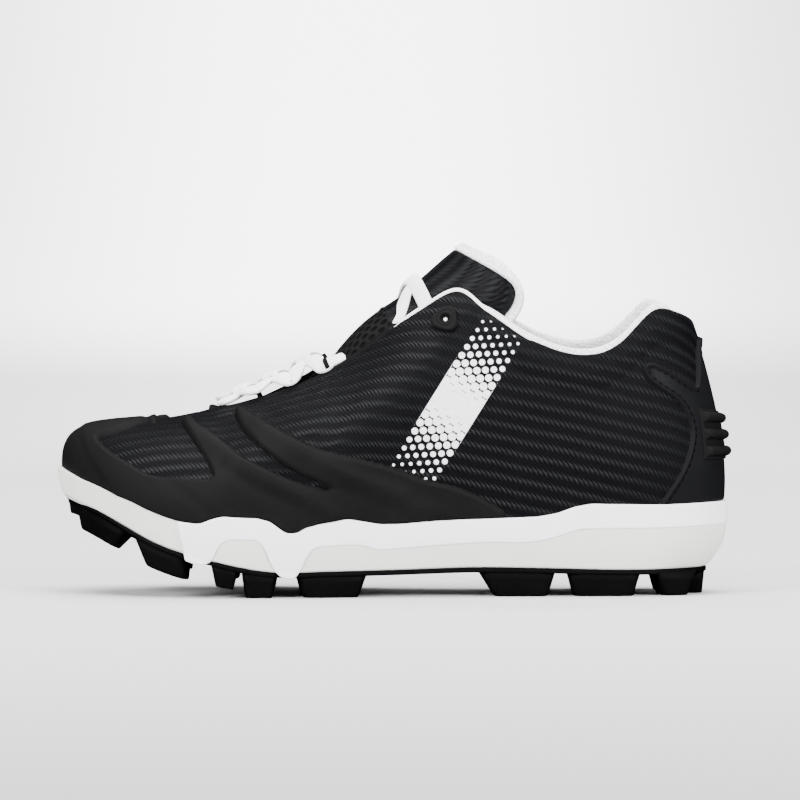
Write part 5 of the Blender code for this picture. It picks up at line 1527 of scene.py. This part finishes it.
def make_midsole(finish):
    """The foam midsole: its wall tucks in behind the side frame, and its top edge is rounded."""
    p = places(901)
    u = edge_u(p)
    back = RIM_STEP * np.clip((1 - u) / 0.12, 0, 1) - TOE_LIP * smooth_step(0.90, 1.0, u)
    low, top = under_z(u), top_z(u)
    seam = np.where(u < FRAME_FRONT + FRAME_SLANT / LENGTH * 0.5, parting_z(u), top + 5 * MM)

    def behind_frame(z):
        return smooth_step(0.2 * MM, 1.2 * MM, z - seam) * (RIM_THICKNESS + GAP - back)

    rows = []
    for share in (0.0, 0.3, 0.7, 1.0):
        a, edge = share * math.pi / 2, 0.9 * MM
        z = low + edge * (1 - math.cos(a))
        rows.append(wall_ring(p, wall_inset(p, z) + back + edge * (1 - math.sin(a)), z))
    for share in np.linspace(0.06, 0.94, 42):
        z = low + (top - low) * share
        rows.append(wall_ring(p, wall_inset(p, z) + back + behind_frame(z), z))
    hidden = behind_frame(top)
    for share in (0.25, 0.5, 0.75, 1.0):
        a, edge = share * math.pi / 2, 0.8 * MM
        z = top - edge * (1 - math.sin(a)) * 0.9 - 0.2 * MM * hidden / RIM_THICKNESS
        rows.append(wall_ring(p, back + hidden + edge * (1 - math.cos(a)), z))
    rows.append(wall_ring(p, RIM_THICKNESS + 0.2 * MM + hidden, top - 0.5 * MM))
    rows.append(wall_ring(p, RIM_THICKNESS + 0.3 * MM + hidden, footbed_z(u)))
    add_piece("midsole_foam", [capped(rows, under_z, footbed_z)], finish, ("midsole",))


def make_side_frame(finish):
    """The white frame round the heel and sides: its edges rounded, its claws down to the plate, its
    front ends slanted and rounded. A level runs from its lower edge (0) to its top (1)."""
    edge = 0.75 * MM
    rows = []

    def row(level, inset, lift):
        front = FRAME_FRONT + FRAME_SLANT / LENGTH * level
        p = np.linspace(place_of(front, 1) - 2, place_of(front, -1), 1001)
        u = edge_u(p)
        z = parting_z(u) + (top_z(u) - parting_z(u)) * level + lift
        rows.append(wall_ring(p, wall_inset(p, np.maximum(z, under_z(u))) + inset, z))

    for a in np.linspace(0, math.pi / 2, 6):
        row(0.0, edge * (1 - math.sin(a)), edge * (1 - math.cos(a)))
    for level in np.linspace(0, 1, 28)[1:-1]:
        row(level, 0.0, edge * (1 - 2 * level))
    for a in np.linspace(math.pi / 2, 0, 6):
        row(1.0, edge * (1 - math.sin(a)), -edge * (1 - math.cos(a)))
    row(1.0, RIM_THICKNESS, 0.0)
    for level in np.linspace(1, 0, 8):
        row(level, RIM_THICKNESS, 0.3 * MM * (1 - 2 * level))
    row(0.0, RIM_THICKNESS - 0.2 * MM, 0.0)
    body = np.array([*rows, rows[0]])
    front, back = rounded_end(body[:, -1], body[:, -2], edge), rounded_end(body[:, 0], body[:, 1], edge)
    body = np.concatenate([back[:, ::-1], body, front], axis=1)
    add_piece("side_frame_moulding", [body], finish, ("side_frame",))


def rounded_end(ring, before, edge):
    """Columns that close a profile's end: it moves on by the edge's radius as it shrinks by it."""
    middle = ring.mean(axis=0)
    onward = unit((ring - before).mean(axis=0))
    reach = np.linalg.norm(ring - middle, axis=1, keepdims=True)
    columns = []
    for a in (math.pi / 6, math.pi / 3, math.pi / 2):
        shrunk = middle + (ring - middle) * np.clip(1 - edge * (1 - math.cos(a)) / reach, 0.3, 1)
        columns.append(shrunk + onward * edge * math.sin(a) * 0.8)
    columns.append(np.broadcast_to(columns[-1].mean(axis=0), ring.shape))
    return np.stack(columns, axis=1)


def tapered_stud(ring_at, sections, drop):
    """A stud from rings that shrink from its root in the plate (0) to its foot (1): each section
    gives how far down it is and its size, and ring_at the ring's X and Y for them."""
    rows = []
    for hang, size in sections:
        xy = ring_at(hang, size)
        under = under_z(u_of(xy))
        root = under - 0.6 * PLATE_THICKNESS
        foot = under - PLATE_THICKNESS - drop * STUD_HEIGHT if drop else 0.0
        rows.append(np.concatenate([xy, (root + (foot - root) * hang)[:, None]], axis=1))
    top = np.broadcast_to(rows[0].mean(axis=0), rows[0].shape)
    return np.array([top, *rows])


def edge_stud(start, end, foot_start, foot_end, width, drop, side):
    """A tapered stud under the plate's edge."""
    across, along = superellipse(49, 5.5)
    reach = PLATE_INSET + STUD_WIDTH * width

    def ring_at(hang, size):
        a, b = start + (foot_start - start) * hang, end + (foot_end - end) * hang
        near, far = PLATE_INSET + STUD_DRAFT * hang, reach - 1.6 * STUD_DRAFT * hang
        d = (near + far) / 2 + (far - near) / 2 * across * size
        u = (a + b) / 2 + (b - a) / 2 * along * size
        return edge_point(place_of(u, side), SIDE_UNDERCUT + GAP + d)

    return tapered_stud(ring_at, EDGE_STUD_SECTIONS, drop)


def inner_stud(u, y, length, width, drop):
    """A tapered round-cornered stud inside the plate."""
    along, across = superellipse(49, 4.0)

    def ring_at(_hang, size):
        x = HEEL_X - u * LENGTH + along * size * length * STUD_WIDTH / 2
        return np.stack([x, y * BALL_WIDTH + across * size * width * STUD_WIDTH / 2], axis=1)

    return tapered_stud(ring_at, INNER_STUD_SECTIONS, drop)


def make_outsole(finish):
    """The rubber plate, its side notched for the frame's claws, and its studs."""
    def plate_low(at):
        return under_z(at) - PLATE_THICKNESS

    def plate_high(at):
        return under_z(at) - 0.1 * MM

    p = places(901)
    u = edge_u(p)
    claw = smooth_step(-0.6 * MM, 0.2 * MM, under_z(u) - parting_z(u)) * (u < FRAME_FRONT + 0.004)
    inset = undercut(p) + PLATE_INSET + claw * (RIM_THICKNESS + GAP)
    edge = 0.5 * MM
    rows = [
        wall_ring(p, inset + edge * (1 - math.sin(a)), plate_low(u) + edge * (1 - math.cos(a)))
        for a in np.linspace(0, math.pi / 2, 5)
    ]
    rows += [wall_ring(p, inset, plate_high(u) - 0.3 * MM), wall_ring(p, inset + 0.2 * MM, plate_high(u))]
    blocks = [capped(rows, plate_low, plate_high)]
    blocks += [edge_stud(*shape, side) for shape in STUDS for side in (-1, 1)]
    blocks += [inner_stud(*shape) for shape in INNER_STUDS]
    add_piece("outsole_plate", blocks, finish, ("outsole",))


def make_insole(finish):
    """The sock liner: a thin pad on the footbed, its top edge rounded and thinner towards the toe."""
    def bed(at):
        return footbed_z(at) + GAP

    def top(at):
        return bed(at) + INSOLE_THICKNESS * (1 - 0.35 * np.clip((at - 0.5) / 0.5, 0, 1))

    p = places(401)
    u = edge_u(p)
    inset = FEATHER_INSET + UPPER_WALL + INSOLE_CLEARANCE
    edge = 1.2 * MM
    rows = [wall_ring(p, inset + GAP, bed(u))]
    for a in np.linspace(0, math.pi / 2, 6):
        rows.append(wall_ring(p, inset + edge * (1 - math.cos(a)), top(u) - edge * (1 - math.sin(a))))
    body = capped(rows, bed, top, (0.5, 1.0), (0.08, 0.2, 0.4, 0.6, 0.8, 1.0))
    add_piece("sock_liner", [body], finish, ("insole",))


def make_stage():
    """The pale floor that sweeps up into a backdrop: a profile carried along X. The backdrop glows, painted
    light from a part that is no lamp, brightest behind the shoe, and the paper's colour is painted dimmer
    in front of the shoe as painted shade."""
    angle = np.linspace(0, math.pi / 2, 24)
    y = np.array([-6.0, *(SWEEP_START + SWEEP_RADIUS * np.sin(angle)), SWEEP_START + SWEEP_RADIUS])
    z = np.array([0.0, *(SWEEP_RADIUS * (1 - np.cos(angle))), 8.0])
    n = len(y)
    points = np.stack([np.repeat([-8.0, 8.0], n), np.tile(y, 2), np.tile(z, 2)], axis=1)
    mesh = bpy.data.meshes.new("studio_sweep")
    mesh.from_pydata(points.tolist(), [], [(i, i + n, i + n + 1, i + 1) for i in range(n - 1)])
    mesh.shade_smooth()
    made = bpy.data.objects.new("studio_sweep", mesh)
    bpy.context.scene.collection.objects.link(made)
    finish, shader = new_finish("pale paper with painted glow", 0.75, specular=0.25)
    place = position(shader)
    x, y, z = parts_of(place)
    # The paper's colour is painted lighter up the wall and towards the back, and the glow reaches the wall
    # and the far floor: painted light
    wall = ramp(z, 0.0, 0.14)
    up = maths("MAXIMUM", wall, ramp(y, 0.2, 2.0))
    painted_glow_reach = maths("MAXIMUM", wall, ramp(y, 1.2, 2.6, 0.0, 0.3))
    aside = abs(x + 0.05)
    middle = ramp(aside, 0.05, 0.60, 1.0, 0.32) * ramp(aside, 0.9, 2.0, 1.0, 0.2)
    far = ramp(y, -4.5, -1.6, 0.12, 0.0)
    # The floor's colour painted dim towards the front: painted shade
    sheet = mixed(ramp(y, -1.0, -0.1), (0.29, 0.29, 0.30), (0.545, 0.54, 0.55))
    near = mixed(ramp(noise(place, 3.0, 2.0), 0.3, 0.7, 0.0, 0.10), sheet, (0.45, 0.45, 0.46))
    feed(shader, mixed(up, near, (0.84, 0.815, 0.85)))
    # Where the backdrop glows, as painted light: strongest behind the shoe, fading high up the wall and to
    # the sides, and faintly far in front
    share = maths("MAXIMUM", painted_glow_reach * ramp(z, 0.8, 2.0, 1.0, 0.15) * middle, far)
    set_input(shader.inputs["Emission Color"], mixed(share, (0.0, 0.0, 0.0), (1.0, 0.975, 1.0)))
    set_input(shader.inputs["Emission Strength"], BACKDROP_GLOW)
    mesh.materials.append(finish)
    made.visible_glossy = False


def aimed(name, data, place, target):
    """Puts a light or the camera at a place, its -Z axis at the target."""
    made = bpy.data.objects.new(name, data)
    bpy.context.scene.collection.objects.link(made)
    made.location = place
    made.rotation_euler = (Vector(target) - Vector(place)).to_track_quat("-Z", "Y").to_euler()
    return made


def make_lights():
    """Soft boxes above, in front at both sides and behind, and a dim even surround. The one behind
    and the surround stay out of reflections, which keeps the blacks black."""
    for name, place, target, size, power in SOFT_BOXES:
        light = bpy.data.lights.new(name, "AREA")
        light.shape = "RECTANGLE"
        light.size, light.size_y = size
        light.energy = power
        aimed(name, light, place, target).visible_glossy = name != "back_box"
    world = bpy.data.worlds.new("pale surround")
    world.use_nodes = True
    surround = world.node_tree.nodes["Background"].inputs
    set_input(surround["Color"], (0.93, 0.925, 0.94))
    set_input(surround["Strength"], 0.6)
    world.cycles_visibility.glossy = False
    bpy.context.scene.world = world


def make_camera():
    """The camera at the photograph's angle: level with the shoe, square to its lateral side."""
    camera = bpy.data.cameras.new("camera")
    camera.sensor_width, camera.lens = CAMERA_SENSOR, CAMERA_LENS
    x, y, z = CAMERA_AIM
    place = (x, y - CAMERA_AWAY * math.cos(CAMERA_TILT), z + CAMERA_AWAY * math.sin(CAMERA_TILT))
    bpy.context.scene.camera = aimed("camera", camera, place, CAMERA_AIM)


def main():
    rubber, sole_rubber, foam, white, counter, thread = (moulded_finish(*row) for row in MOULDED)
    lace, piping, webbing = (woven_finish(*row) for row in WOVEN)
    terry, fleece, knit = (terry_finish(*row) for row in TERRY)
    make_upper_skin(twill_finish("black pressed twill"))
    make_lining(terry)
    make_piping(piping)
    make_binding(webbing)
    make_toe_guard(rubber)
    make_counter(counter)
    make_counter_stitches(thread)
    make_bumper(rubber)
    make_eyelets(rubber, lace)
    make_tongue(tongue_finish("black tongue cloth"), fleece)
    make_laces(lace)
    make_loops(webbing)
    make_side_frame(white)
    make_midsole(foam)
    make_outsole(sole_rubber)
    make_insole(knit)
    make_stage()
    make_lights()
    make_camera()


main()
